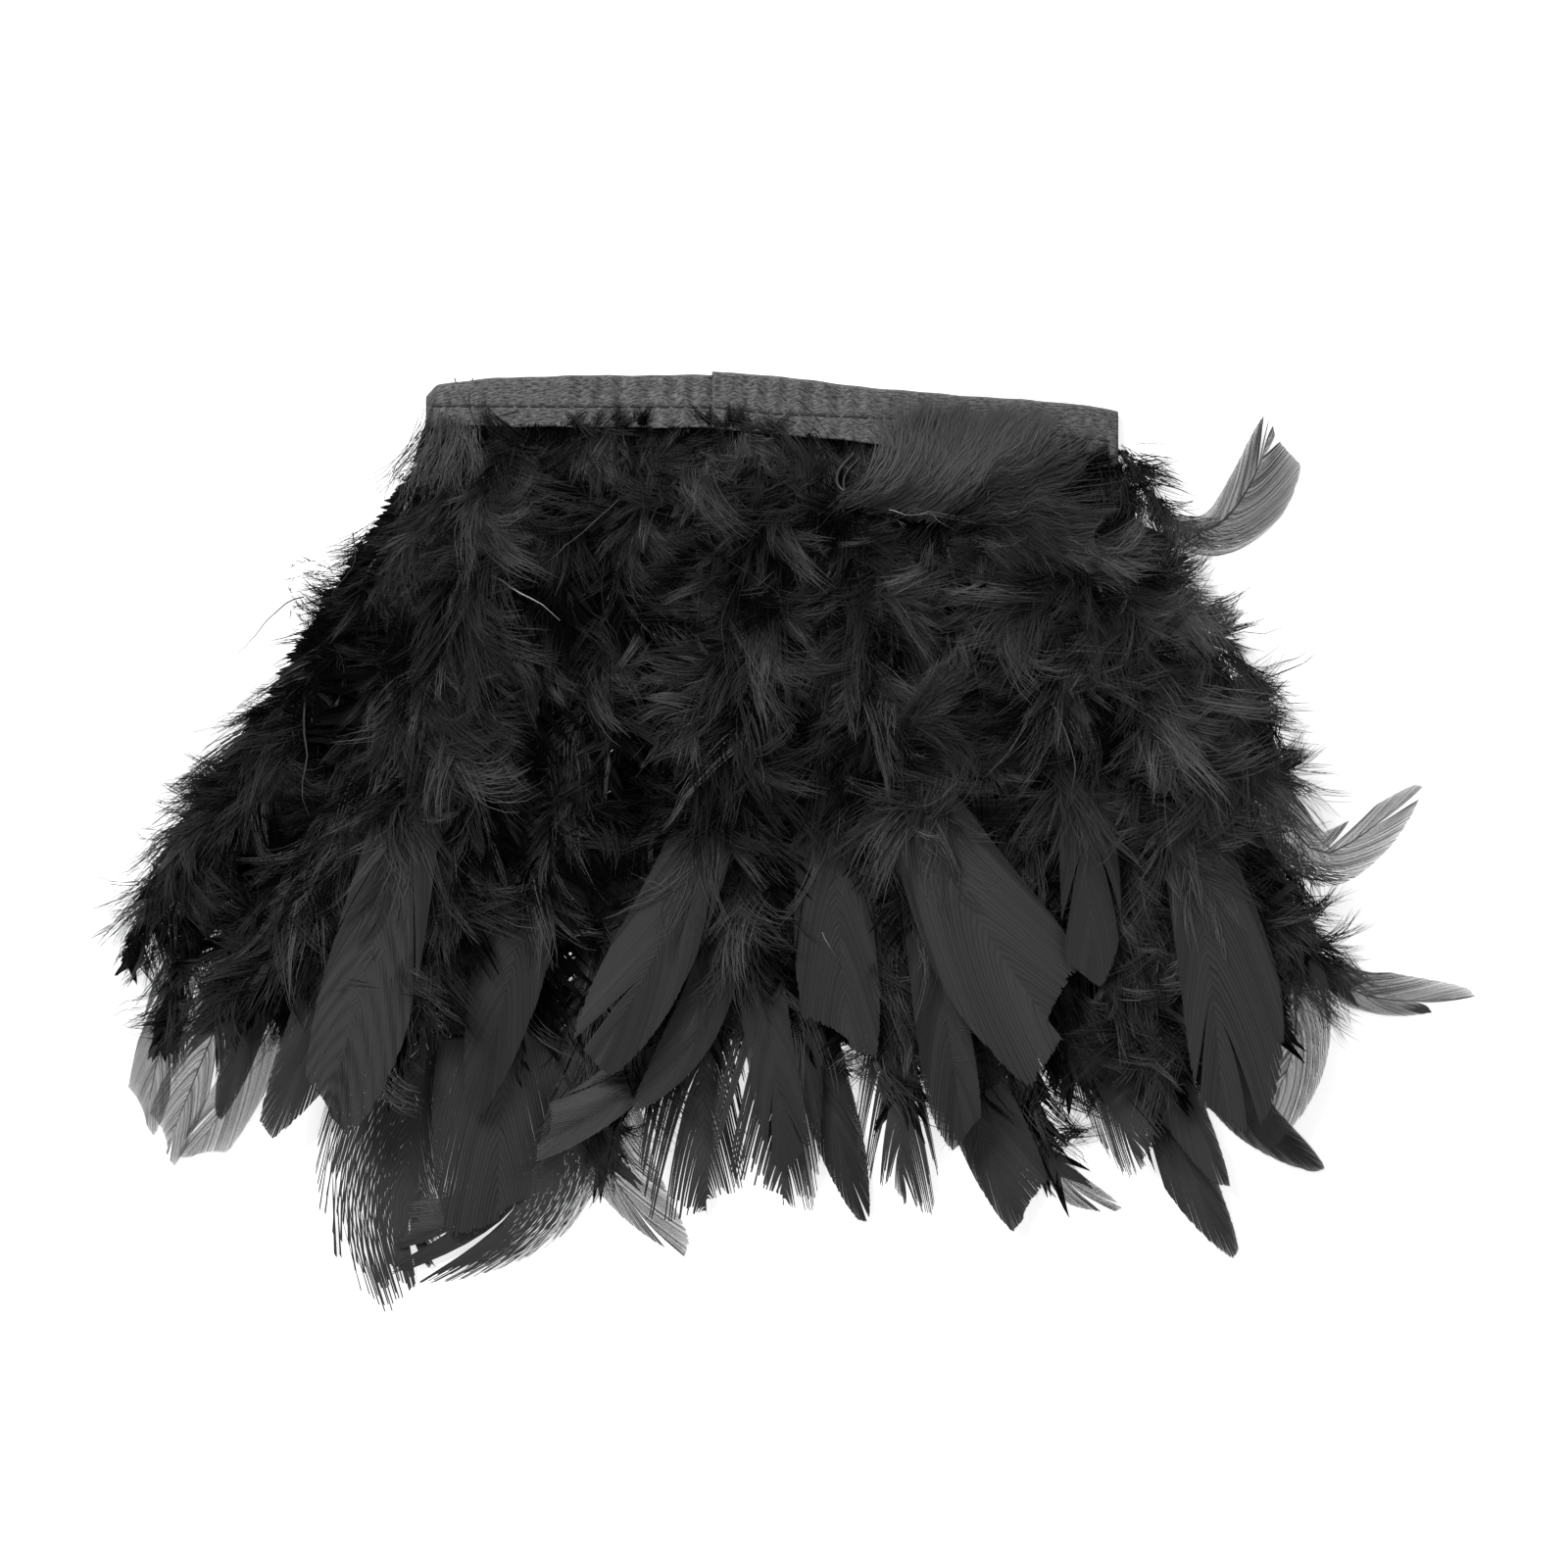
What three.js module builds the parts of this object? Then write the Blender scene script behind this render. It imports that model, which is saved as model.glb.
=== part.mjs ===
// Feather fringe trim lying flat on a table: a folded ribbon tape with a fan of feathers sewn into it.
// Millimetres, +Z up. X runs along the tape, the feathers point to -Y, and the tape's underside is Z = 0.
// The origin is on the tape's underside, near the middle of its length.
import * as THREE from 'three';

// Tape: two ribbons folded lengthwise. The left one's end is tucked into the right one.
const RIBBON_WALL = 0.3;
const FOLD_DEPTH = 1.2; // the folded edge is rounded over this width
const FOLD_STEPS = 6;
const LEFT_RIBBON = { from: -63.4, to: -3, bottom: 0.55, height: 2.3 };
const RIGHT_RIBBON = { from: -11, to: 63.4, bottom: 0, height: 3.4 };
// Edges of the tape in plan as [x, y] points: each ribbon's folded edge, the open mouth, the stitch line.
const LEFT_FOLD = [[-63.4, 1.4], [-61.6, 3.4], [-50, 4.8], [-30, 5.2], [-11, 5.2], [-3, 4.75]];
const RIGHT_FOLD = [[-11, 5.9], [-3, 5.4], [22, 2.5], [57.6, -0.2], [63.4, -1.5]];
const MOUTH = [[-63.4, -4.2], [-11, -4.6], [-3, -5.3], [20, -7.6], [63.4, -11.9]];
const STITCH = [[-63.4, -0.6], [-11, -0.8], [0, -2], [24, -3], [63.4, -7.2]];
const CHANNEL_DEPTH = 0.2; // the stitches pull a shallow channel into both faces of the tape
const CHANNEL_HALF = 0.5;
const CHANNEL_FLOOR_HALF = 0.32;

// Threads of the lockstitch: one in each channel.
const THREAD_HALF = 0.2;
const THREAD_THICK = 0.15;
const THREAD_LIFT = 0.025;
const THREAD_END = 0.4; // cut this far inside the tape's two ends
const THREAD_STEP_AT = [-12.6, -11.2]; // the threads climb from the left ribbon to the right one here

// Quills: they leave the mouth and flex about one straight line just outside it.
const QUILL_Z = 1.7;
const FLEX_LINE_AT_X0 = -10.05;
const FLEX_LINE_SLOPE = -0.0607;
const FLEX_GAP = 0.6; // bare distance on each side of the flex line
const QUILL_WIDTH = 1.2;
const BUTT_THICK = 0.8;
const BUTT_BAR = { above: 2.6, below: 0.8 }; // glued bar through the butts, measured up from the stitch line
const FIRST_QUILL = -60;
const QUILL_PITCH = 120 / 35;

// Heap of feathers: every feather lies on a sheet of its own, so none touches another.
// A row is [distance from the flex line, height of the lowest sheet, spread of the sheets, quill thickness].
const HEAP = [
  [FLEX_GAP, QUILL_Z, 0.01, 0.5],
  [5, 1.5, 0.08, 0.8],
  [12, 1.2, 0.2, 0.8],
  [22, 0.8, 0.45, 0.3],
  [36, 0.5, 0.78, 0.18],
  [50, 0.35, 1, 0.18],
  [170, 0.25, 0.33, 0.16],
];
const SHEET_PITCH = 0.58;
const FINE_ROWS_TO = 50; // a feather has a ring at every row of the heap as far as this
const TIP_STEPS = 4; // and this many even steps on to its tip

// Plan of a feather: share of its full width at a distance from the flex line.
const FULL_WIDTH_AT = 60;
const WIDTH_LAW = [[0, 0], [12, 0.01], [22, 0.22], [36, 0.66], [FULL_WIDTH_AT, 1]];
const FAN_LEAN = 0.0092; // sideways lean of a quill per millimetre of its place along the tape
const HOOK_POWER = 2.5; // the lean gives way to the feather's own bend towards its tip

// Three layers of twelve feathers, left to right. Each is [x and y of the tip, width, tip width as a share of
// that, slant], the slant being how much longer one side of the tip is cut than the other.
const LAYERS = [
  {
    name: 'lower', firstSheet: 0,
    feathers: [
      [-115, -132, 8, 0.6, 6], [-111, -137, 9, 0.7, 5], [-106, -138, 9, 0.6, -4],
      [-64, -158, 24, 0.7, -6], [-65, -152, 18, 0.7, 5], [-16, -155, 14, 0.2, -5],
      [17, -150, 11, 0.2, 5], [46, -149, 16, 0.6, -4], [64, -147, 10, 0.2, 5],
      [85, -156, 10, 0.2, -5], [101, -140, 9, 0.2, 5], [128, -108.5, 9, 0.2, -4],
    ],
  },
  {
    name: 'middle', firstSheet: 12,
    feathers: [
      [-117, -106, 18, 0.3, 4], [-101, -131, 6, 0.2, 3], [-92, -133, 14, 0.3, 6],
      [-50, -149, 24, 0.7, -6], [-42, -135, 10, 0.7, 4], [-12, -147, 20, 0.8, -4],
      [2, -146, 20, 0.8, 4], [24, -146, 15, 0.7, 5], [68, -139, 18, 0.7, -4],
      [83, -143, 8, 0.2, 5], [91, -135, 9, 0.3, -4], [89, -133, 17, 0.6, 5],
    ],
  },
  {
    name: 'upper', firstSheet: 24,
    feathers: [
      [-112, -92, 18, 0.3, 4], [-99, -114, 18, 0.3, -4], [-72, -124, 20, 0.5, 5],
      [-54, -130, 13, 0.2, -5], [-25, -129, 9, 0.1, 5], [4, -139, 9, 0.5, -4],
      [14, -117, 15, 0.7, 6], [35, -134, 10, 0.5, -5], [56, -126, 12, 0.5, 4],
      [72, -128, 18, 0.4, -4], [92, -118, 20, 0.4, 5], [117, -70, 10, 0.1, -4],
    ],
  },
];
// Feathers that curl: their own sideways lean and hook power instead of FAN_LEAN and HOOK_POWER.
const CURLED = {
  lower_feather_04: [-0.61, 2.5], lower_feather_05: [0.04, 8], lower_feather_06: [-0.47, 2.5],
  lower_feather_09: [0.05, 6], lower_feather_11: [0.32, 6], lower_feather_12: [0.58, 8],
  middle_feather_05: [0.1, 8], middle_feather_12: [0.62, 5], upper_feather_05: [0.15, 6],
  barred_blade: [-0.2, 2.5],
};
const SHEET_STRIDE = 5; // neighbours in a layer lie this many sheets apart

// Long blades lying on top of the layers, each free to lift by itself. slot counts quills from the left.
const BLADES = [
  { name: 'barred_blade', slot: 3.5, sheet: 42, width: 17, tip: [-80, -129], share: 0.5, slant: 6 },
  { name: 'square_tip_blade', slot: 17.5, sheet: 43, width: 15, tip: [-32, -120], share: 0.6, slant: 2 },
  { name: 'broad_blade', slot: 21.5, sheet: 44, width: 24, tip: [51, -114], share: 0.85, slant: -8 },
  { name: 'narrow_blade', slot: 29.5, sheet: 45, width: 11, tip: [57, -105], share: 0.4, slant: 4 },
  { name: 'right_blade', slot: 32.5, sheet: 46, width: 18, tip: [81, -130], share: 0.5, slant: 6 },
];

// Two loose ones off the flex line, as [x, y, z, width] from the quill to the tip.
const BACK_SWEPT_PLUME = [
  [18, -9.6, 2.7, 1], [19.5, -9.2, 3.9, 1.2], [27, -6.6, 4.1, 4], [38, -5, 4.2, 6],
  [49, -5.4, 4.2, 6], [58, -6.4, 4.1, 3],
];
const END_FEATHER = [
  [64, -8.6, 1.7, 1], [68, -15.5, 1.6, 1.2], [74, -22.5, 1.5, 5], [81, -23, 1.4, 10],
  [87.5, -15.5, 1.3, 11], [92, -4.5, 1.2, 7],
];
const LOOSE_THICK = 0.3;

const COLOURS = { ribbon: 0x2e2e2f, thread: 0x151516, quill: 0x30302e, vane: 0x1c1c1d };

const piece = (name, geometry, slot, roughness) => {
  const material = new THREE.MeshStandardMaterial({ color: COLOURS[slot], roughness, metalness: 0 });
  const mesh = new THREE.Mesh(geometry, material);
  mesh.name = name;
  return mesh;
};

// Value at x on a line through points whose first number is their place; column picks the value.
function along(points, x, column = 1) {
  let next = 1;
  while (next < points.length - 1 && points[next][0] < x) next += 1;
  const [a, b] = [points[next - 1], points[next]];
  const share = Math.min(Math.max((x - a[0]) / (b[0] - a[0]), 0), 1);
  return a[column] + (b[column] - a[column]) * share;
}

// Six times the volume inside the triangles, negative when they face inwards.
function signedVolume(points, index) {
  let sum = 0;
  for (let i = 0; i < index.length; i += 3) {
    const [a, b, c] = [0, 1, 2].map((k) => new THREE.Vector3(...points[index[i + k]]));
    sum += a.dot(b.cross(c));
  }
  return sum;
}

// Closed skin over rings of equal count. capPlane gives the two coordinates that the end rings are flat in.
function loft(rings, capPlane) {
  const count = rings[0].length;
  const index = [];
  for (let r = 0; r + 1 < rings.length; r += 1) {
    for (let i = 0; i < count; i += 1) {
      const [a, b] = [r * count + i, r * count + ((i + 1) % count)];
      index.push(a, b, b + count, a, b + count, a + count);
    }
  }
  const outline = rings[0].map(capPlane);
  const caps = THREE.ShapeUtils.triangulateShape(outline, []);
  const last = (rings.length - 1) * count;
  const sameWay = THREE.ShapeUtils.area(outline) > 0;
  for (const [a, b, c] of caps) {
    if (sameWay) index.push(a, c, b, last + a, last + b, last + c);
    else index.push(a, b, c, last + a, last + c, last + b);
  }
  if (signedVolume(rings.flat(), index) < 0) index.reverse();
  const geometry = new THREE.BufferGeometry();
  geometry.setAttribute('position', new THREE.Float32BufferAttribute(rings.flat(2), 3));
  geometry.setIndex(index);
  return geometry;
}

// One folded ribbon: a U-shaped wall round the quills, open at the mouth, with a channel in each face.
function ribbon({ from, to, bottom, height }, fold) {
  const middle = bottom + height / 2;
  const half = height / 2;
  const ends = [from, to];
  const bends = [...fold, ...MOUTH, ...STITCH].map(([x]) => x).filter((x) => x > from && x < to);
  const places = [...new Set([...ends, ...bends])].sort((a, b) => a - b);

  // One wall surface from the lower lip round the fold to the upper lip, moved in by inset.
  const wall = (x, inset) => {
    const [foldY, mouthY, stitchY] = [along(fold, x), along(MOUTH, x), along(STITCH, x)];
    const [reach, rise] = [FOLD_DEPTH - inset, half - inset];
    const face = (side) => [
      [mouthY, side * rise],
      [stitchY - CHANNEL_HALF, side * rise],
      [stitchY - CHANNEL_FLOOR_HALF, side * (rise - CHANNEL_DEPTH)],
      [stitchY + CHANNEL_FLOOR_HALF, side * (rise - CHANNEL_DEPTH)],
      [stitchY + CHANNEL_HALF, side * rise],
    ];
    const arc = [];
    for (let i = 0; i <= FOLD_STEPS; i += 1) {
      const angle = Math.PI * (i / FOLD_STEPS - 0.5);
      arc.push([foldY - FOLD_DEPTH + reach * Math.cos(angle), rise * Math.sin(angle)]);
    }
    return [...face(-1), ...arc, ...face(1).reverse()];
  };
  const rings = places.map((x) => {
    const section = [...wall(x, 0), ...wall(x, RIBBON_WALL).reverse()];
    return section.map(([y, z]) => [x, y, middle + z]);
  });
  return loft(rings, ([, y, z]) => new THREE.Vector2(y, z));
}

// A thread in the channel on the upper (side 1) or lower (side -1) face of the tape.
function thread(side) {
  const faceHeight = ({ bottom, height }) => (side > 0 ? bottom + height : bottom);
  const left = faceHeight(LEFT_RIBBON) - side * (CHANNEL_DEPTH - THREAD_LIFT);
  const right = faceHeight(RIGHT_RIBBON) - side * (CHANNEL_DEPTH - THREAD_LIFT);
  const start = LEFT_RIBBON.from + THREAD_END;
  const end = RIGHT_RIBBON.to - THREAD_END;
  const bends = STITCH.map(([x]) => x).filter((x) => x > start && x < end);
  const places = [...new Set([start, ...bends, ...THREAD_STEP_AT, end])].sort((a, b) => a - b);
  const rings = places.map((x) => {
    const y = along(STITCH, x);
    const inner = along([[THREAD_STEP_AT[0], left], [THREAD_STEP_AT[1], right]], x);
    const outer = inner + side * THREAD_THICK;
    const [low, high] = [Math.min(inner, outer), Math.max(inner, outer)];
    return [
      [x, y - THREAD_HALF, low], [x, y + THREAD_HALF, low],
      [x, y + THREAD_HALF, high], [x, y - THREAD_HALF, high],
    ];
  });
  return loft(rings, ([, y, z]) => new THREE.Vector2(y, z));
}

// Plan coordinates: u runs along the flex line from x = 0, d is the distance out from it.
const flexAngle = Math.atan(FLEX_LINE_SLOPE);
const toPlan = (u, d) => [
  u * Math.cos(flexAngle) + d * Math.sin(flexAngle),
  FLEX_LINE_AT_X0 + u * Math.sin(flexAngle) - d * Math.cos(flexAngle),
];
const fromPlan = ([x, y]) => {
  const rise = y - FLEX_LINE_AT_X0;
  return [
    x * Math.cos(flexAngle) + rise * Math.sin(flexAngle),
    x * Math.sin(flexAngle) - rise * Math.cos(flexAngle),
  ];
};
const quillPlace = (slot) => FIRST_QUILL + QUILL_PITCH * slot;

// The bare quill ends inside the tape, strung side by side and held by one glued bar.
function quillButts(slots) {
  const bar = slots.map(quillPlace).map((u) => toPlan(u, 0)[0]);
  const [left, right] = [bar[0] - QUILL_WIDTH, bar.at(-1) + QUILL_WIDTH];
  const outline = [];
  for (const x of bar) {
    const lower = along(STITCH, x) + BUTT_BAR.below;
    const [near, far] = [x - QUILL_WIDTH / 2, x + QUILL_WIDTH / 2];
    const end = (place) => FLEX_LINE_AT_X0 + FLEX_LINE_SLOPE * place + FLEX_GAP;
    outline.push([near, lower], [near, end(near)], [far, end(far)], [far, lower]);
  }
  const upper = STITCH.map(([x]) => x).filter((x) => x > left && x < right);
  for (const x of [right, ...upper.reverse(), left]) outline.push([x, along(STITCH, x) + BUTT_BAR.above]);
  const shape = new THREE.Shape(outline.map(([x, y]) => new THREE.Vector2(x, y)));
  const geometry = new THREE.ExtrudeGeometry(shape, { depth: BUTT_THICK, bevelEnabled: false });
  return geometry.translate(0, 0, QUILL_Z - BUTT_THICK / 2);
}

// A feather: a quill that widens into a thin vane, on its own sheet of the heap, ending in a slanted cut.
function feather({ slot, sheet, width, tip, share, slant, curl }) {
  const root = quillPlace(slot);
  const [tipU, tipD] = fromPlan(tip);
  const [lean, power] = curl ?? [FAN_LEAN * root, HOOK_POWER];
  const hook = tipU - root - lean * tipD;
  const rows = HEAP.map(([d]) => d).filter((d) => d <= FINE_ROWS_TO);
  const step = (tipD - FINE_ROWS_TO) / TIP_STEPS;
  const outer = Array.from({ length: TIP_STEPS }, (_, i) => FINE_ROWS_TO + step * (i + 1));
  outer[TIP_STEPS - 1] = tipD;
  const rings = [...rows, ...outer].map((d) => {
    const middle = root + lean * d + hook * (d / tipD) ** power;
    const past = Math.min(Math.max((d - FULL_WIDTH_AT) / (tipD - FULL_WIDTH_AT), 0), 1);
    const narrowing = 1 - (1 - share) * past ** 2;
    const half = (QUILL_WIDTH + (width - QUILL_WIDTH) * along(WIDTH_LAW, d) * narrowing) / 2;
    const cut = d === tipD ? slant / 2 : 0;
    const corner = (side, up) => {
      const reach = d + side * cut;
      const height = along(HEAP, reach) + SHEET_PITCH * sheet * along(HEAP, reach, 2);
      return [...toPlan(middle + side * half, reach), height + (up * along(HEAP, reach, 3)) / 2];
    };
    return [corner(-1, -1), corner(1, -1), corner(1, 1), corner(-1, 1)];
  });
  return loft(rings, ([x, , z]) => new THREE.Vector2(x, z));
}

// A loose feather along its own points, its width laid square to its path.
function looseFeather(points) {
  const rings = points.map(([x, y, z, width], i) => {
    const [a, b] = [points[Math.max(i - 1, 0)], points[Math.min(i + 1, points.length - 1)]];
    const run = Math.hypot(b[0] - a[0], b[1] - a[1]);
    const [sideX, sideY] = [((b[1] - a[1]) / run) * (width / 2), (-(b[0] - a[0]) / run) * (width / 2)];
    const half = LOOSE_THICK / 2;
    return [
      [x - sideX, y - sideY, z - half], [x + sideX, y + sideY, z - half],
      [x + sideX, y + sideY, z + half], [x - sideX, y - sideY, z + half],
    ];
  });
  return loft(rings, ([, y, z]) => new THREE.Vector2(y, z));
}

const trim = new THREE.Group();
const tape = new THREE.Group();
tape.add(piece('ribbon_left', ribbon(LEFT_RIBBON, LEFT_FOLD), 'ribbon', 0.6));
tape.add(piece('ribbon_right', ribbon(RIGHT_RIBBON, RIGHT_FOLD), 'ribbon', 0.6));
tape.add(piece('needle_thread', thread(1), 'thread', 0.7));
tape.add(piece('bobbin_thread', thread(-1), 'thread', 0.7));
trim.add(tape);

const slots = BLADES.map(({ slot }) => slot);
LAYERS.forEach(({ name, firstSheet, feathers }, layer) => {
  const group = new THREE.Group();
  feathers.forEach(([x, y, width, share, slant], i) => {
    const slot = i * LAYERS.length + layer;
    const sheet = firstSheet + ((i * SHEET_STRIDE) % feathers.length);
    slots.push(slot);
    const node = `${name}_feather_${String(i + 1).padStart(2, '0')}`;
    const geometry = feather({ slot, sheet, width, tip: [x, y], share, slant, curl: CURLED[node] });
    group.add(piece(node, geometry, 'vane', 0.5));
  });
  trim.add(group);
});
for (const blade of BLADES) {
  trim.add(piece(blade.name, feather({ ...blade, curl: CURLED[blade.name] }), 'vane', 0.5));
}
tape.add(piece('strung_quill_butts', quillButts(slots.sort((a, b) => a - b)), 'quill', 0.5));
trim.add(piece('back_swept_plume', looseFeather(BACK_SWEPT_PLUME), 'vane', 0.5));
trim.add(piece('end_feather', looseFeather(END_FEATHER), 'vane', 0.5));

export default trim;
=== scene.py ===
"""Feather fringe trim lying flat on a table: ribbon tape, stitching, quill butts and forty-three feathers.

Every length below is in millimetres, in the frame of the CAD model: X along the tape, the feathers
pointing to -Y, Z up. Meshes are made in metres.
"""

import math

import bpy
import mathutils
import numpy as np
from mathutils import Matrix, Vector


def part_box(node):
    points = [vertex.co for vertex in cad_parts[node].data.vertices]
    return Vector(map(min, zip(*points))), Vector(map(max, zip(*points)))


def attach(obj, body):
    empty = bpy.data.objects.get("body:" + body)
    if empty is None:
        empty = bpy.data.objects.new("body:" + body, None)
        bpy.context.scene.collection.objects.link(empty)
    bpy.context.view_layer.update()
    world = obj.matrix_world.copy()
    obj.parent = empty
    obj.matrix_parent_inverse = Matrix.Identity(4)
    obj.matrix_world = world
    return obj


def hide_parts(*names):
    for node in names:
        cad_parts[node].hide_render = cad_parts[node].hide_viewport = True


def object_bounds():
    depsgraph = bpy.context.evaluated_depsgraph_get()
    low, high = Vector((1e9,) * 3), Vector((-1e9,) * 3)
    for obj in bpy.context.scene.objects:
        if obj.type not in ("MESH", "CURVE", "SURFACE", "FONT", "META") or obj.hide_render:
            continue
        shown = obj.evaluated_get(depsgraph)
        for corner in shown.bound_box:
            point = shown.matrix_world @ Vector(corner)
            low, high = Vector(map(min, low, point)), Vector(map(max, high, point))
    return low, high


bl_info = {
    "name": "Feather fringe trim",
    "version": (1, 0, 0),
    "blender": (4, 5, 0),
    "location": "3D View > Sidebar > Fringe",
    "description": "Makes a stitched ribbon tape with a fan of downy feathers",
    "category": "Add Mesh",
}

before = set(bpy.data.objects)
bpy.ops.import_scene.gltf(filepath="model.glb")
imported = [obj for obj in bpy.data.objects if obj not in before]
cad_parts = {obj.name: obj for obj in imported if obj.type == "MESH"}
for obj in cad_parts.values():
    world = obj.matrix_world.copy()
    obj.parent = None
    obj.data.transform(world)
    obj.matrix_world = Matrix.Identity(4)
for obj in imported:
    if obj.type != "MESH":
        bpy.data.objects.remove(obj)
CAD_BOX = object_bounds()

MM = 0.001
CAD_LOW, CAD_HIGH = (np.array(corner) / MM for corner in CAD_BOX)
# No strand of down rises above, sinks below or reaches back past these.
FLUFF_TOP = CAD_HIGH[2] + 8
FLUFF_LOW = 0.15
FLUFF_BACK = CAD_HIGH[1] + 6

# Tape edges in plan, as [x, y]: the folded edge of each ribbon, the open mouth and the stitch line.
LEFT_FOLD = np.array([[-63.4, 1.4], [-61.6, 3.4], [-50, 4.8], [-30, 5.2], [-11, 5.2], [-3, 4.75]])
RIGHT_FOLD = np.array([[-11, 5.9], [-3, 5.4], [22, 2.5], [57.6, -0.2], [63.4, -1.5]])
MOUTH = np.array([[-63.4, -4.2], [-11, -4.6], [-3, -5.3], [20, -7.6], [63.4, -11.9]])
STITCH = np.array([[-63.4, -0.6], [-11, -0.8], [0, -2], [24, -3], [63.4, -7.2]])
FOLD_DEPTH = 1.2
CHANNEL_HALF, CHANNEL_DEPTH = 0.5, 0.2

# Quills flex about one straight line just outside the tape.
FLEX_Y, FLEX_SLOPE = -10.05, -0.0607
FLEX_GAP = 0.6
QUILL_Z = 1.7
FIRST_QUILL, QUILL_PITCH = -60, 120 / 35
QUILL_WIDTH = 1.2

# Heap of feathers: [distance from the flex line, height of the lowest sheet, spread of the sheets].
HEAP = np.array(
    [
        [0.6, 1.7, 0.01],
        [5, 1.5, 0.08],
        [12, 1.2, 0.2],
        [22, 0.8, 0.45],
        [36, 0.5, 0.78],
        [50, 0.35, 1],
        [170, 0.25, 0.33],
    ]
)
SHEET_PITCH = 0.58
SHEET_STRIDE = 5  # neighbours in a layer lie this many sheets apart
FAN_LEAN = 0.0092  # sideways lean of a feather for each millimetre of its root from the tape's middle
HOOK_POWER = 2.5

# Three layers of twelve feathers, left to right: the layer's first sheet, then for each feather
# (x and y of the tip, width, tip share, slant, kind). The kinds are in KINDS.
LAYERS = {
    "lower": (0, [
        (-115, -132, 8, 0.6, 6, "sheer"), (-111, -137, 9, 0.7, 5, "sheer"),
        (-106, -138, 9, 0.6, -4, "sheer"), (-64, -158, 24, 0.7, -6, "comb"),
        (-65, -152, 17, 0.7, 5, "comb"), (-16, -155, 13, 0.2, -5, "sheer"),
        (17, -150, 9, 0.2, 5, "blade"), (46, -149, 13, 0.6, -4, "blade"),
        (64, -147, 7, 0.2, 5, "sheer"), (85, -156, 10, 0.2, -5, "blade"),
        (101, -140, 9, 0.2, 5, "blade"), (128, -108.5, 8, 0.2, -4, "pronged"),
    ]),
    "middle": (12, [
        (-117, -106, 18, 0.3, 4, "plume"), (-101, -131, 6, 0.2, 3, "blade"),
        (-92, -133, 14, 0.3, 6, "blade"), (-50, -149, 24, 0.7, -6, "blade"),
        (-42, -135, 9, 0.9, 4, "blade"), (-12, -147, 20, 0.8, -4, "frayed"),
        (2, -146, 20, 0.8, 4, "frayed"), (24, -146, 15, 0.7, 5, "frayed"),
        (68, -139, 18, 0.7, -4, "frayed"), (83, -143, 8, 0.2, 5, "blade"),
        (91, -135, 9, 0.3, -4, "frayed"), (89, -133, 17, 0.6, 5, "sheer"),
    ]),
    "upper": (24, [
        (-112, -92, 18, 0.3, 4, "plume"), (-99, -114, 18, 0.3, -4, "plume"),
        (-72, -124, 20, 0.5, 5, "plume"), (-54, -130, 13, 0.2, -5, "blade"),
        (-25, -129, 9, 0.1, 5, "blade"), (4, -139, 9, 0.5, -4, "blade"),
        (14, -117, 15, 0.7, 6, "blade"), (35, -134, 10, 0.5, -5, "blade"),
        (56, -126, 12, 0.5, 4, "plume"), (72, -128, 18, 0.4, -4, "plume"),
        (92, -118, 20, 0.4, 5, "plume"), (117, -70, 10, 0.1, -4, "sheer"),
    ]),
}
LAYER_DOWN = {"lower": 0.84, "middle": 0.8, "upper": 0.67}  # share of the length that is downy
BLADE_DOWN = 0.62

# The first and last feather of a layer: where their down may start across the shaft, and a quieter outline.
OUTERMOST = {0: (-0.3, 1), 11: (-1, 0.95)}
OUTER_LOOK = {"swirl": 50, "plumule_length": 11, "mat_reach": 0.55, "bed": 60, "bed_reach": 0.5}
INNER_LOOK = {"bed": 70, "mat_reach": 1.1}

# Long blades on top: slot in quills from the left, sheet, then as above.
BLADES = {
    "barred_blade": (3.5, 42, (-80, -129, 17, 0.5, 8, "barred")),
    "square_tip_blade": (17.5, 43, (-32, -120, 15, 0.45, 2, "blade")),
    "broad_blade": (21.5, 44, (51, -114, 24, 0.85, -8, "blade")),
    "narrow_blade": (29.5, 45, (57, -105, 11, 0.4, 4, "blade")),
    "right_blade": (32.5, 46, (81, -130, 18, 0.5, 6, "blade")),
}

# Feathers that curl: their own sideways lean and hook power.
CURLED = {
    "middle_feather_05": (0.1, 8), "upper_feather_05": (0.15, 6), "barred_blade": (-0.2, 2.5),
}
# Feathers with a lie of their own, as [x, y] from the flex line to the tip.
ROUTES = {
    "lower_feather_04": [
        (-29.1, -8.3), (-43, -50), (-56, -90), (-64.5, -118), (-67.5, -138), (-67, -149), (-62.5, -157),
    ],
    "lower_feather_05": [
        (-18.9, -9), (-25, -60), (-32, -110), (-35, -133), (-44, -145), (-56, -150), (-68, -153),
    ],
    "lower_feather_06": [
        (-8.6, -10), (-17, -50), (-29, -95), (-34, -122), (-31, -140), (-24, -149), (-15.8, -156),
    ],
    "lower_feather_09": [(32.5, -12.2), (38, -60), (43, -105), (46, -130), (52, -142), (64, -147.8)],
    "lower_feather_11": [(42.8, -12.8), (55, -50), (68, -90), (78, -118), (88, -131), (101, -140.5)],
    "lower_feather_12": [
        (53, -13.4), (68, -45), (84, -76), (94, -98), (104, -107.5), (115, -110), (128.5, -108.5),
    ],
    "middle_feather_01": [(-60, -6.4), (-76, -35), (-90, -58), (-103, -76), (-113, -92), (-119, -106)],
    "middle_feather_12": [
        (56.5, -13.6), (71, -45), (86, -80), (93.5, -98), (96, -112), (94, -123), (88, -133),
    ],
    "upper_feather_01": [(-53, -6.8), (-72, -35), (-88, -58), (-100, -74), (-108, -84), (-113, -92)],
    "upper_feather_12": [(59, -13.8), (72, -38), (88, -66), (97, -84), (106, -80), (117, -70)],
}

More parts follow.
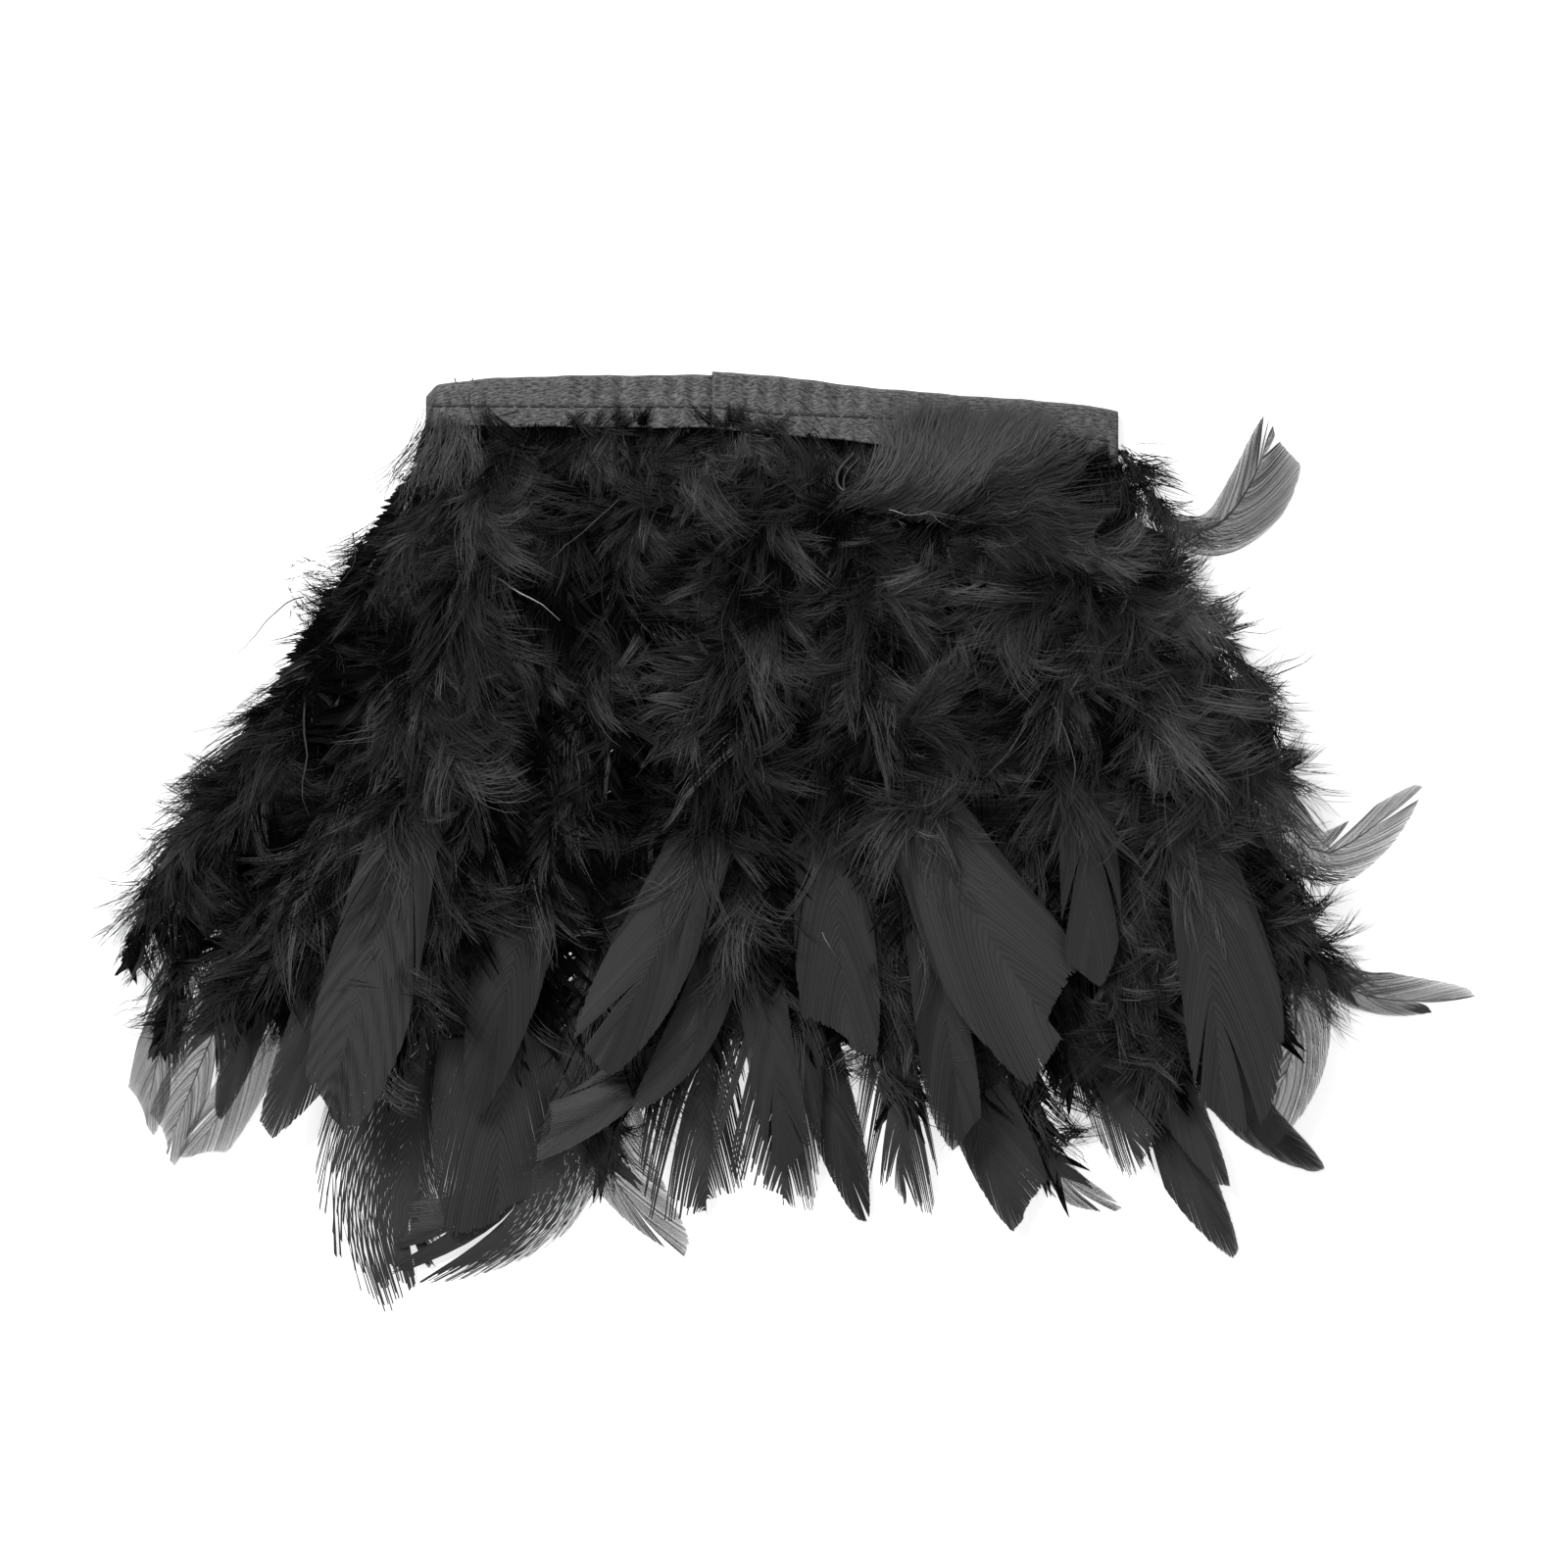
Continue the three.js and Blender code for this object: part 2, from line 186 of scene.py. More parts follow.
# What sets one kind of feather apart from a plain blade.
KINDS = {
    "blade": {},
    "barred": {"bars": 1.3, "tone": 0.6},
    "frayed": {"fray": 0.5, "fray_power": 5.0, "ragged": 0.18, "unruly": 0.004, "splits": 4, "tone": 0.6},
    "comb": {
        "barbs": 240, "fray": 0.3, "fray_power": 7.0, "fray_in": 0.3, "ragged": 0.2, "splits": 3,
        "gap": 0.03, "tone": 0.6, "down_share": 0.66, "mat_reach": 0.7,
    },
    "sheer": {"barbs": 260, "gap": 0.5, "fray": 0.3, "splits": 2, "tone": 0.9},
    "pronged": {"barbs": 240, "gap": 0.4, "fray": 0.4, "splits": 2, "split_size": 0.12, "tone": 0.9},
    "plume": {
        "gap": 0.2, "fray": 0.97, "fray_power": 0.9, "ragged": 0.5, "unruly": 0.02, "down_share": 0.95,
        "down_length": 14.0, "angle_tip": 14.0, "locks": 60,
    },
}

# Plumules are big tufts of long curved fibres. The bed is a broad coarse copy of the under-down, near black
# like it as painted shade.
PLUMULE = {
    "tuft_fibres": 26, "tuft_steps": 6, "tuft_spread": 1.35, "draw": 0.6, "splay": 0.07,
    "fan": 30, "curve": 1.9, "coat_rise": 0.45,
}
BED = {"mat_width": 2.4, "mat_angle": (80, 55)}
BED_SHARE = 0.72
TUFT_NOISE, PLUMULE_NOISE = 12, 24  # random share of a tuft's heading, in degrees

# Blade anatomy.
BARB_BUNCH = 0.9  # power that crowds the barbs towards the vane's start
BARB_OVERLAP = 1.06
BARB_DRIFT = 16  # stretches of the vane that darken and lighten together
BAR_TURNS = 160  # radians of dark and light bars along a barred vane
BAR_SWEEP = 0.35  # how much further along the vane a barb ends than it starts
ROLL_RUN = 40

# The loose feather at the tape's right end, as [x, y, z] from the quill to the tip.
END_FEATHER = [
    (64, -8.6, 1.7), (68, -15.5, 1.6), (74, -23, 1.5),
    (81.5, -23.5, 1.4), (87.8, -15.5, 1.3), (92, -4.5, 1.2),
]
END_LOOK = {
    "begin": 13, "curl": 0.5, "tone": 0.7, "gap": 0.35, "hairs": 0,
    "down_length": 9, "down_tone": 0.5, "locks": 16, "lock_length": 9, "mat": 4, "mat_reach": 0.3,
    "coat_half": 3.0, "coat_length": 11, "coat_rise": 0.3, "swirl": 30, "fan": 24,
    "plumules": 6, "plumule_length": 12,
}

# The back-swept plume, as [x, y, z] along its quill, and its two fans of barbs. A fan's barbs leave its line;
# heading and turn in degrees and length in millimetres each run from the line's start to its end.
PLUME_QUILL = [(15, -9.2, 2.6), (11.5, -13, 4.2), (12.5, -16.8, 6.6), (24, -19.4, 8.6), (36, -21.6, 9)]
PLUME_FANS = (
    {
        "line": ((13, -17.5), (35, -21.5)), "heading": (8, 40), "turn": (78, 6), "length": (25, 30),
        "share": 1, "scatter": 0.8, "tousle": 1.3, "loft": 2.6, "tone": 0.7, "gather": 7,
    },
    {
        "line": ((32, -21), (44, -21)), "heading": (48, -48), "turn": (-14, -4), "length": (25, 19),
        "share": 2, "scatter": 1.4, "tousle": 1.8, "loft": 3.2, "tone": 0.4, "gather": 8,
    },
)

# Stray hairs caught on the tape, as [x, y, z].
STRAY_HAIRS = (
    [(-46.4, -1.4, 3.0), (-51, -2.6, 3.1), (-56.3, -4.5, 2.7)],
    [(-58.2, 4.6, 2.2), (-57, 1.4, 3.1), (-55.4, -0.8, 3.1), (-54.6, -3.6, 3.1)],
    [(-54.8, 4.6, 2.2), (-55.6, 1.8, 3.1), (-55.4, -0.8, 3.1)],
    [(4.6, 0.6, 3.7), (8, -2.4, 3.8), (10.4, -6.2, 3.7)],
)
# Bands of down along the mouth: x from, x to, inner and outer offsets from the mouth, heading and its noise
# in degrees, divisor of the number of tufts, rise, length.
COLLAR_BANDS = (
    (-59, 62, -0.4, -2.4, -90, 26, 1, 0.2, 8),
    (-59, 62, -1.5, -6.5, -90, 40, 1, 0.4, 9),
    (-38, -24, 0.8, -2.5, 60, 40, 26, 0.3, 6),
    (-12, 3, 0.8, -2.5, 85, 45, 20, 0.3, 7),
    (48, 61, 1.2, -2.5, 55, 40, 16, 0.35, 8),
)
# The wisp at the tape's left end, as a fan of the plume.
WISP = {
    "line": ((-62.8, -3.5), (-55, -5)), "heading": (246, 268), "turn": (-6, -10), "length": (21, 10),
    "count": 170, "scatter": 1.2, "tousle": 1.4, "loft": 0.8, "tone": 0.8, "cover": (5, 3.4),
    "heading_noise": 10, "turn_noise": 16, "strand": 0.14,
}

# The camera's picture is this wide, and centred here.
VIEW_WIDTH = 288
VIEW_CENTRE = (2.2, -69.8)
FLOOR_REACH = 1.5  # metres


# ---------------------------------------------------------------- meshes


def part(points, quads, slot=0, tone=0.5, uv=None):
    """One group of faces: points (n, 3) in millimetres, quads, material slot, tone and (u, v) per point."""
    count = len(points)
    tones = np.broadcast_to(np.asarray(tone, np.float32), (count,))
    return {
        "points": points,
        "quads": quads,
        "slot": slot,
        "tone": tones,
        "uv": np.zeros((count, 2), np.float32) if uv is None else uv,
    }


def make_piece(name, parts, materials, smooth=True):
    """Joins the parts into one mesh object at the origin, with a tone attribute and a UV map named weave."""
    starts = np.cumsum([0] + [len(p["points"]) for p in parts])
    points = np.concatenate([p["points"] for p in parts]) * MM
    quads = np.concatenate([p["quads"] + start for p, start in zip(parts, starts)]).astype(np.int32)
    slots = np.concatenate([np.full(len(p["quads"]), p["slot"], np.int32) for p in parts])
    tones = np.concatenate([p["tone"] for p in parts]).astype(np.float32)
    uv = np.concatenate([p["uv"] for p in parts]).astype(np.float32)

    mesh = bpy.data.meshes.new(name)
    mesh.vertices.add(len(points))
    mesh.vertices.foreach_set("co", points.astype(np.float32).ravel())
    mesh.loops.add(quads.size)
    mesh.loops.foreach_set("vertex_index", quads.ravel())
    mesh.polygons.add(len(quads))
    mesh.polygons.foreach_set("loop_start", np.arange(len(quads), dtype=np.int32) * 4)
    mesh.polygons.foreach_set("material_index", slots)
    mesh.polygons.foreach_set("use_smooth", np.full(len(quads), smooth))
    mesh.update(calc_edges=True)
    mesh.uv_layers.new(name="weave").data.foreach_set("uv", uv[quads.ravel()].ravel())
    mesh.attributes.new("tone", "FLOAT", "POINT").data.foreach_set("value", tones)
    for material in materials:
        mesh.materials.append(material)
    piece = bpy.data.objects.new(name, mesh)
    bpy.context.scene.collection.objects.link(piece)
    return piece


def grid_quads(rows, columns, closed=False):
    """Quads of a rows by columns grid of points, with the last column joined to the first if closed."""
    across = np.arange(columns if closed else columns - 1)
    after = (across + 1) % columns
    down = np.arange(rows - 1)[:, None] * columns
    corners = [down + across, down + after, down + columns + after, down + columns + across]
    return np.stack(corners, -1).reshape(-1, 4)


def strips(edge_a, edge_b):
    """Points and quads of n ribbons of m steps, from two arrays (n, m, 3) of their edges."""
    count, steps = edge_a.shape[:2]
    points = np.stack([edge_a, edge_b], 2).reshape(-1, 3)
    one = grid_quads(steps, 2)
    quads = (one[None] + (np.arange(count) * steps * 2)[:, None, None]).reshape(-1, 4)
    return points, quads


def strand_edges(paths, half, rng):
    """The two edges of flat strands along paths (n, m, 3), each rolled up to 50 degrees about its path."""
    flow = np.gradient(paths, axis=1)
    flow /= np.linalg.norm(flow, axis=-1, keepdims=True) + 1e-9
    level = np.cross(flow, [0.0, 0.0, 1.0])
    roll = rng.uniform(-0.9, 0.9, len(paths))[:, None, None]
    level = level * np.cos(roll) + np.cross(flow, level) * np.sin(roll)
    return paths - level * half, paths + level * half


def tube(path, radius, sides=8, squash=1.0):
    """A closed tube: rings of the given radius square to a path that runs mostly level.

    A point of a ring is path + radius x (cos(angle) side + squash x sin(angle) up). Quads close its ends.
    """
    tangent = np.gradient(path, axis=0)
    tangent /= np.linalg.norm(tangent, axis=1, keepdims=True)
    side = np.cross(tangent, [0.0, 0.0, 1.0])
    side /= np.linalg.norm(side, axis=1, keepdims=True)
    up = np.cross(side, tangent)
    angle = np.linspace(0, 2 * np.pi, sides, endpoint=False)
    wide = np.cos(angle)[None, :, None] * side[:, None]
    tall = np.sin(angle)[None, :, None] * up[:, None] * squash
    points = path[:, None] + (wide + tall) * np.broadcast_to(radius, len(path))[:, None, None]
    quads = grid_quads(len(path), sides, closed=True)
    fan = np.array([[0, i, i + 1, i + 2] for i in range(1, sides - 2, 2)])
    last = (len(path) - 1) * sides
    return points.reshape(-1, 3), np.concatenate([quads, fan[:, ::-1], fan + last])


# ---------------------------------------------------------------- plan and heap

FLEX_ANGLE = math.atan(FLEX_SLOPE)
ALONG = np.array([math.cos(FLEX_ANGLE), math.sin(FLEX_ANGLE)])
OUTWARD = np.array([math.sin(FLEX_ANGLE), -math.cos(FLEX_ANGLE)])
FLEX_ORIGIN = np.array([0.0, FLEX_Y])


def to_plan(along, out):
    """Plan point at a place along the flex line and a distance out from it."""
    return FLEX_ORIGIN + np.asarray(along)[..., None] * ALONG + np.asarray(out)[..., None] * OUTWARD


def out_of(plan):
    """Distance of plan points from the flex line."""
    return (plan - FLEX_ORIGIN) @ OUTWARD


def sheet_height(sheet, out):
    """Height of one sheet of the heap: base + pitch x sheet x spread, each eased over 8 mm either way."""
    shifts = (-8.0, -4.0, 0.0, 4.0, 8.0)
    near = np.clip(np.asarray(out) / 8.0, 0.05, 1)
    base = sum(np.interp(out + s * near, HEAP[:, 0], HEAP[:, 1]) for s in shifts) / len(shifts)
    spread = sum(np.interp(out + s * near, HEAP[:, 0], HEAP[:, 2]) for s in shifts) / len(shifts)
    return base + SHEET_PITCH * sheet * spread


SWELL = np.random.default_rng(11)
SWELL_WAVES = [
    (SWELL.normal(size=2) * 2 * np.pi / SWELL.uniform(9, 34), SWELL.uniform(0, 6.28, 3)) for _ in range(9)
]


def tousle(plan):
    """A smooth field of three values, mostly -1 to 1, over the plan.

    Each value is a third of the sum of nine sine waves, 9 to 34 mm long, which run in random directions.
    """
    total = np.zeros(plan.shape[:-1] + (3,))
    for wave, phase in SWELL_WAVES:
        total += np.sin((plan @ wave)[..., None] + phase)
    return total / 3


def smooth_line(points):
    """The points joined by a line rounded by three passes of corner cutting at a quarter of each side."""
    line = np.array(points, float)
    for _ in range(3):
        inner = np.stack([line[:-1] * 0.75 + line[1:] * 0.25, line[:-1] * 0.25 + line[1:] * 0.75], 1)
        line = np.concatenate([line[:1], inner.reshape(-1, line.shape[1]), line[-1:]])
    return line


class Feather:
    """Where one feather lies: its centreline in plan, sampled finely, and its height.

    The height is that of its sheet of the heap, or heights, one per point of the line, if it has no sheet.
    """

    def __init__(self, body, line, sheet=None, heights=None):
        self.body, self.sheet = body, sheet
        steps = np.linalg.norm(np.diff(line, axis=0), axis=1)
        self.reach = np.concatenate([[0], np.cumsum(steps)])
        self.line, self.heights = line, heights
        self.length = self.reach[-1]
        tangent = np.gradient(line, axis=0)
        self.tangent = tangent / np.linalg.norm(tangent, axis=1, keepdims=True)

    def at(self, s):
        """Centre, direction and right-hand side at distance s from the root, run on straight past the tip."""
        over = np.maximum(s - self.length, 0)
        centre = np.stack([np.interp(s, self.reach, self.line[:, k]) for k in (0, 1)], -1)
        forward = np.stack([np.interp(s, self.reach, self.tangent[:, k]) for k in (0, 1)], -1)
        forward /= np.linalg.norm(forward, axis=-1, keepdims=True)
        side = np.stack([-forward[..., 1], forward[..., 0]], -1)
        return centre + forward * over[..., None], forward, side

    def height(self, plan, s):
        """Height of the feather's own sheet under a plan point."""
        if self.sheet is None:
            return np.interp(s, self.reach, self.heights)
        return sheet_height(self.sheet, out_of(plan))


def fringe_feather(node, body, slot, sheet, tip):
    """A feather of the fringe on its own sheet, along its route if it has one.

    Otherwise its place along the flex line is root + lean x out + hook x (out / tip) ^ power, where the lean
    grows from the middle of the tape and the hook makes it end at the tip.
    """
    if node in ROUTES:
        return Feather(body, smooth_line(ROUTES[node]), sheet)
    root = FIRST_QUILL + QUILL_PITCH * slot
    offset = np.array(tip) - FLEX_ORIGIN
    tip_along, tip_out = offset @ ALONG, offset @ OUTWARD
    lean, power = CURLED.get(node, (FAN_LEAN * root, HOOK_POWER))
    out = np.linspace(FLEX_GAP * 0.2, tip_out, 120)
    along = root + lean * out + (tip_along - root - lean * tip_out) * (out / tip_out) ** power
    return Feather(body, to_plan(along, out), sheet)


def loose_feather(body, points):
    """Centreline through the given points, rounded."""
    line = smooth_line(points)
    return Feather(body, line[:, :2], heights=line[:, 2])


# ---------------------------------------------------------------- feather parts


def curl_at(look, s):
    """Height that the curl adds at distance s: curl x share^3, share running from 0 to 1 along the vane."""
    return look["curl"] * np.clip((s - look["begin"]) / (look["end"] - look["begin"]), 0, 1.2) ** 3


def vane_point(feather, look, t, q, side):
    """Point q of the way along barb t of a vane.

    A barb leaves the shaft at share t of the vane's length and ends on the outline: first along the
    straight side, then round a superellipse x^n + y^n = 1 to the natural tip. Its path is q^1.35 of the way
    forward and q^0.9 of the way out, so it leaves the shaft wide and sweeps on. A slanting scissor cut
    across the feather ends every barb that would pass it.
    """
    half = look["half"][side]
    sign = 1 if side else -1
    turn = look["turn"]
    end = look["end"] + look["taper"] * look["cut"]
    widest = end - look["taper"]
    corner = max(widest - look["sweep"] * half, look["begin"] + 4)
    sweep = (widest - corner) / half
    straight = np.clip(t / turn, 0, 1)
    past = np.clip((t - turn) / (1 - turn), 0, 1)
    angle = past * np.pi / 2
    power = 2 / look["square"]
    start = np.where(
        t < turn,
        look["begin"] + (corner - look["begin"]) * straight,
        corner + (end - look["bare_tip"] - corner) * past,
    )
    grow = 0.72 + 0.28 * np.sin(straight * np.pi / 2)
    out = half * np.where(t < turn, grow, np.clip(np.cos(angle), 0, 1) ** power)
    forward = np.where(t < turn, start + sweep * out, widest + look["taper"] * np.sin(angle) ** power)
    limit = look["end"] + look["slant"] * sign * out / sum(look["half"])
    stop = np.clip((limit - start) / np.maximum(forward - start, 0.01), 0, 1) ** (1 / 1.35)
    q = q * stop
    s = start + (forward - start) * q**1.35
    v = sign * out * q**0.9
    centre, _, across = feather.at(s)
    plan = centre + across * v[..., None]
    rolled = look["roll"] * v * np.clip((s - look["begin"]) / ROLL_RUN, 0, 1)
    z = feather.height(plan, s) - look["camber"] * v**2 + rolled + curl_at(look, s)
    return np.concatenate([plan, np.clip(z, FLUFF_LOW, FLUFF_TOP)[..., None]], -1)


def vane(feather, look, rng):
    """Both sides of a vane as ribbons of barbs that share one surface.

    The barbs part at the splits: a split at t0 pushes barb t away by size x sign(t - t0) x
    exp(-|t - t0| / 0.06) x q^2. A barb narrows by fray x q^power towards its end, and by a random share of
    gap all along.
    """
    made = []
    for side in (0, 1):
        count = look["barbs"]
        edges = np.linspace(0, 1, count + 1) ** BARB_BUNCH
        middle = (edges[:-1] + edges[1:]) / 2
        open_at = rng.uniform(0.25, 0.98, look["splits"])
        size = rng.uniform(0.4, 1, look["splits"]) * look["split_size"]
        apart = middle[:, None] - open_at
        push = (size * np.sign(apart) * np.exp(-np.abs(apart) / 0.06)).sum(1)
        push = push + rng.normal(0, look["unruly"], count)
        q = np.linspace(0, 1, look["steps"])[None]
        ends = 1 - look["ragged"] * rng.random(count) ** 2
        reach = q * ends[:, None]
        lower = np.clip(edges[:-1, None] + push[:, None] * reach**2, 0, 1)
        upper = np.clip(edges[1:, None] + push[:, None] * reach**2, 0, 1)
        fray = look["fray"] * (1 - look["fray_in"] + look["fray_in"] * middle)
        thin = look["gap"] * rng.uniform(0.2, 1, count)[:, None]
        keep = (1 - fray[:, None] * reach**look["fray_power"]) * (1 - thin)
        a = vane_point(feather, look, lower, reach, side)
        b = vane_point(feather, look, upper, reach, side)
        centre, half = (a + b) / 2, (b - a) / 2 * keep[..., None] * BARB_OVERLAP
        centre[..., 2] += rng.uniform(0, 0.06, count)[:, None]
        points, quads = strips(centre - half, centre + half)
        number = np.broadcast_to(middle[:, None, None] * count, (count, look["steps"], 2))
        run = np.broadcast_to(reach[..., None] * 20, number.shape)
        uv = np.stack([number + np.array([-0.5, 0.5]), run], -1)
        waves = np.sin(BAR_TURNS * (middle[:, None] + BAR_SWEEP * reach))
        bars = look["bars"] * 0.3 * waves * np.clip(3 * reach, 0, 1)
        drift = np.interp(
            np.arange(count), np.linspace(0, count, BARB_DRIFT), rng.normal(0, 0.13, BARB_DRIFT)
        )
        tone = np.clip(look["tone"] + (rng.normal(0, 0.08, count) + drift)[:, None] + bars, 0, 1)
        tones = np.broadcast_to(tone[..., None], (count, look["steps"], 2)).reshape(-1)
        made.append(part(points, quads if side else quads[:, ::-1], 0, tones, uv.reshape(-1, 2)))
    return made


def shaft(feather, look):
    """The feather's shaft: a tapering tube from the flex line to near the tip, thickest at the quill."""
    s = np.linspace(0, look["end"] - look["bare_tip"], 26)
    centre, _, _ = feather.at(s)
    z = feather.height(centre, s) + curl_at(look, s)
    radius = 0.36 * QUILL_WIDTH * (1 - s / s[-1]) ** 0.8 + 0.05
    path = np.concatenate([centre, np.clip(z - radius, 0.5, FLUFF_TOP)[:, None]], 1)
    points, quads = tube(path, radius, 6)
    return part(points, quads, 2, 0.5)


def barb_cores(feather, look, rng, reach, angles, length, rise, spread, steps=9):
    """Middle lines of soft barbs that leave the shaft, bend as they go and rise off the sheet: (n, steps, 3).

    A barb of length l runs in the direction angle + bend x t, and stands l x rise x (t - 0.5 t^2) off its
    sheet. reach is how far along the shaft each starts, and angles its direction there, one number per barb.
    """
    count = len(reach)
    side = rng.choice([-1.0, 1.0], count)
    bend, wobble = rng.normal(-0.3, 0.55, count), rng.normal(0, 0.16, count)
    t = np.linspace(0, 1, steps)[None]
    heading = angles[:, None] + bend[:, None] * t + wobble[:, None] * np.sin(t * 5 + wobble[:, None] * 9)
    step = length[:, None] / (steps - 1)
    run = np.concatenate([np.zeros((count, 1)), np.cumsum(np.cos(heading[:, 1:]) * step, 1)], 1)
    out = np.concatenate([np.zeros((count, 1)), np.cumsum(np.sin(heading[:, 1:]) * step, 1)], 1)
    centre, forward, across = feather.at(reach)
    start = centre + across * (rng.normal(0, 1, count) * spread)[:, None]
    aside = across[:, None] * (side[:, None] * out)[..., None]
    plan = start[:, None] + forward[:, None] * run[..., None] + aside
    swirl = tousle(plan)
    plan = plan + swirl[..., :2] * (t * look["tousle"])[..., None]
    lift = length[:, None] * rise[:, None] * (t - 0.5 * t**2) + swirl[..., 2] * t * 1.4
    z = feather.height(plan, reach[:, None] + run) + lift
    return np.concatenate([plan, z[..., None]], -1)


def fluff(cores, tone, look, rng):
    """Barbules along each barb: they leave it all round at 55 to 25 degrees and bend to run along with it.

    With T along the barb and n square to it, a barbule of length l is
    l x (T (0.45 t + 0.4 t^2) + n sin(spread) (t - 0.4 t^2)), shorter and closer to the barb near its tip.
    """
    count, steps = cores.shape[:2]
    each = look["barbules"]
    place = rng.uniform(0.08, 0.985, (count, each)) * (steps - 1)
    first = place.astype(int)
    part_way = (place - first)[..., None]
    row = np.arange(count)[:, None]
    flow = np.gradient(cores, axis=1)
    root = cores[row, first] * (1 - part_way) + cores[row, first + 1] * part_way
    along = flow[row, first] * (1 - part_way) + flow[row, first + 1] * part_way
    along /= np.linalg.norm(along, axis=-1, keepdims=True) + 1e-9
    side = np.cross(along, [0.0, 0.0, 1.0])
    side /= np.linalg.norm(side, axis=-1, keepdims=True) + 1e-9
    up = np.cross(side, along)
    turn = rng.uniform(0, 2 * np.pi, (count, each))[..., None]
    square = side * np.cos(turn) + up * np.sin(turn) * 0.6
    share = place / (steps - 1)
    spread = np.radians(58 - 34 * share + rng.normal(0, 9, share.shape))[..., None, None]
    size = (look["barbule"] * (1 - 0.5 * share) * rng.uniform(0.5, 1.25, share.shape))[..., None, None]
    t = np.linspace(0, 1, 4)[:, None]
    ahead = along[..., None, :] * (0.45 * t + 0.4 * t**2)
    aside = square[..., None, :] * np.sin(spread) * (t - 0.4 * t**2)
    path = root[..., None, :] + size * (ahead + aside)
    path = path.reshape(-1, 4, 3)
    path[..., 1] = np.minimum(path[..., 1], FLUFF_BACK)
    path[..., 2] = np.clip(path[..., 2], FLUFF_LOW, FLUFF_TOP)
    half = look["strand"] / 2 * (1 - t * 0.9) * rng.uniform(0.7, 1.3, len(path))[:, None, None]
    points, quads = strips(*strand_edges(path, half, rng))
    noise = rng.normal(0, 0.07, share.shape)
    # Painted light and shade: barbules further out along the barb, pointing up (sin of turn) and towards
    # their own tips are lighter; the normal noise is random tone.
    tones = tone[:, None] + 0.5 * (share - 0.6) + 0.12 * np.sin(turn[..., 0]) + noise
    tones = np.clip(tones.reshape(-1)[:, None, None] + 0.2 * t[None], 0, 1)
    return strand_part(points, quads, tones, 4)


def plain_strands(cores, tone, look, rng, painted_shade_fade=0.1):
    """Barbs as flat strands whose half width shrinks as (1 - 0.97 t)^0.5, lighter towards the tip by the
    given amount: painted shade at the roots, painted light at the tips.
    """
    steps = cores.shape[1]
    t = np.linspace(0, 1, steps)[:, None]
    cores[..., 1] = np.minimum(cores[..., 1], FLUFF_BACK)
    cores[..., 2] = np.clip(cores[..., 2], FLUFF_LOW, FLUFF_TOP)
    half = look["strand"] / 2 * (1 - t * 0.97) ** 0.5 * rng.uniform(0.7, 1.3, len(cores))[:, None, None]
    points, quads = strips(*strand_edges(cores, half, rng))
    # Painted shade and light: the tone rises along each strand from its root to its tip.
    return strand_part(points, quads, np.clip(tone[:, None, None] + painted_shade_fade * t[None], 0, 1), steps)


def hairs(feather, look, rng):
    """A few bare, stiff barbs that stand clear of the down and catch the light."""
    count = look["hairs"]
    reach = rng.uniform(0.1, 0.8, count) * look["down_to"]
    angles = np.radians(rng.uniform(5, 75, count))
    length, rise = rng.uniform(10, 22, count), rng.uniform(0.3, 0.6, count)
    cores = barb_cores(feather, look, rng, reach, angles, length, rise, 3)
    cores[..., 2] += 0.8
    made = plain_strands(cores, np.full(count, 0.9), {"strand": 0.3}, rng)
    return {**made, "slot": 2}


def strand_part(points, quads, tones, steps):
    """A group of strands with a tone for each step of each strand, and (middle, t) as their UV."""
    count = len(points) // (2 * steps)
    tones = np.broadcast_to(tones, (count, steps, 2)).reshape(-1)
    t = np.linspace(0, 1, steps)[:, None] * np.ones(2)
    uv = np.broadcast_to(np.stack([np.full((steps, 2), 0.5), t], -1), (count, steps, 2, 2))
    return part(points, quads, 1, tones, uv.reshape(-1, 2))


def down(feather, look, rng):
    """Fluffy barbs all along the lower part of the shaft, square to its root and swept forward further on."""
    count = look["soft_barbs"]
    share = rng.beta(1.1, 1.3, count)
    reach = look["down_from"] + (look["down_to"] - look["down_from"]) * share
    angles = np.radians(look["angle_root"] + (look["angle_tip"] - look["angle_root"]) * share)
    angles = angles + np.radians(rng.normal(0, 20, count))
    full = np.sin(np.pi * np.clip(share * 0.7 + 0.24, 0, 1)) ** 0.5
    length = look["down_length"] * full * rng.uniform(0.5, 1.2, count)
    rise = look["rise"] * rng.random(count) ** 1.5 * (1 - 0.5 * share)
    cores = barb_cores(feather, look, rng, reach, angles, length, rise, 1.4)
    # Part painted shade: barbs that rise less off their sheet are darker; the normal noise is random tone.
    tone = np.clip(look["down_tone"] + rng.normal(0, 0.12, count) + (rise - 0.25) * 0.5, 0, 1)
    return [fluff(cores, tone, look, rng), plain_strands(cores, tone, look, rng)]


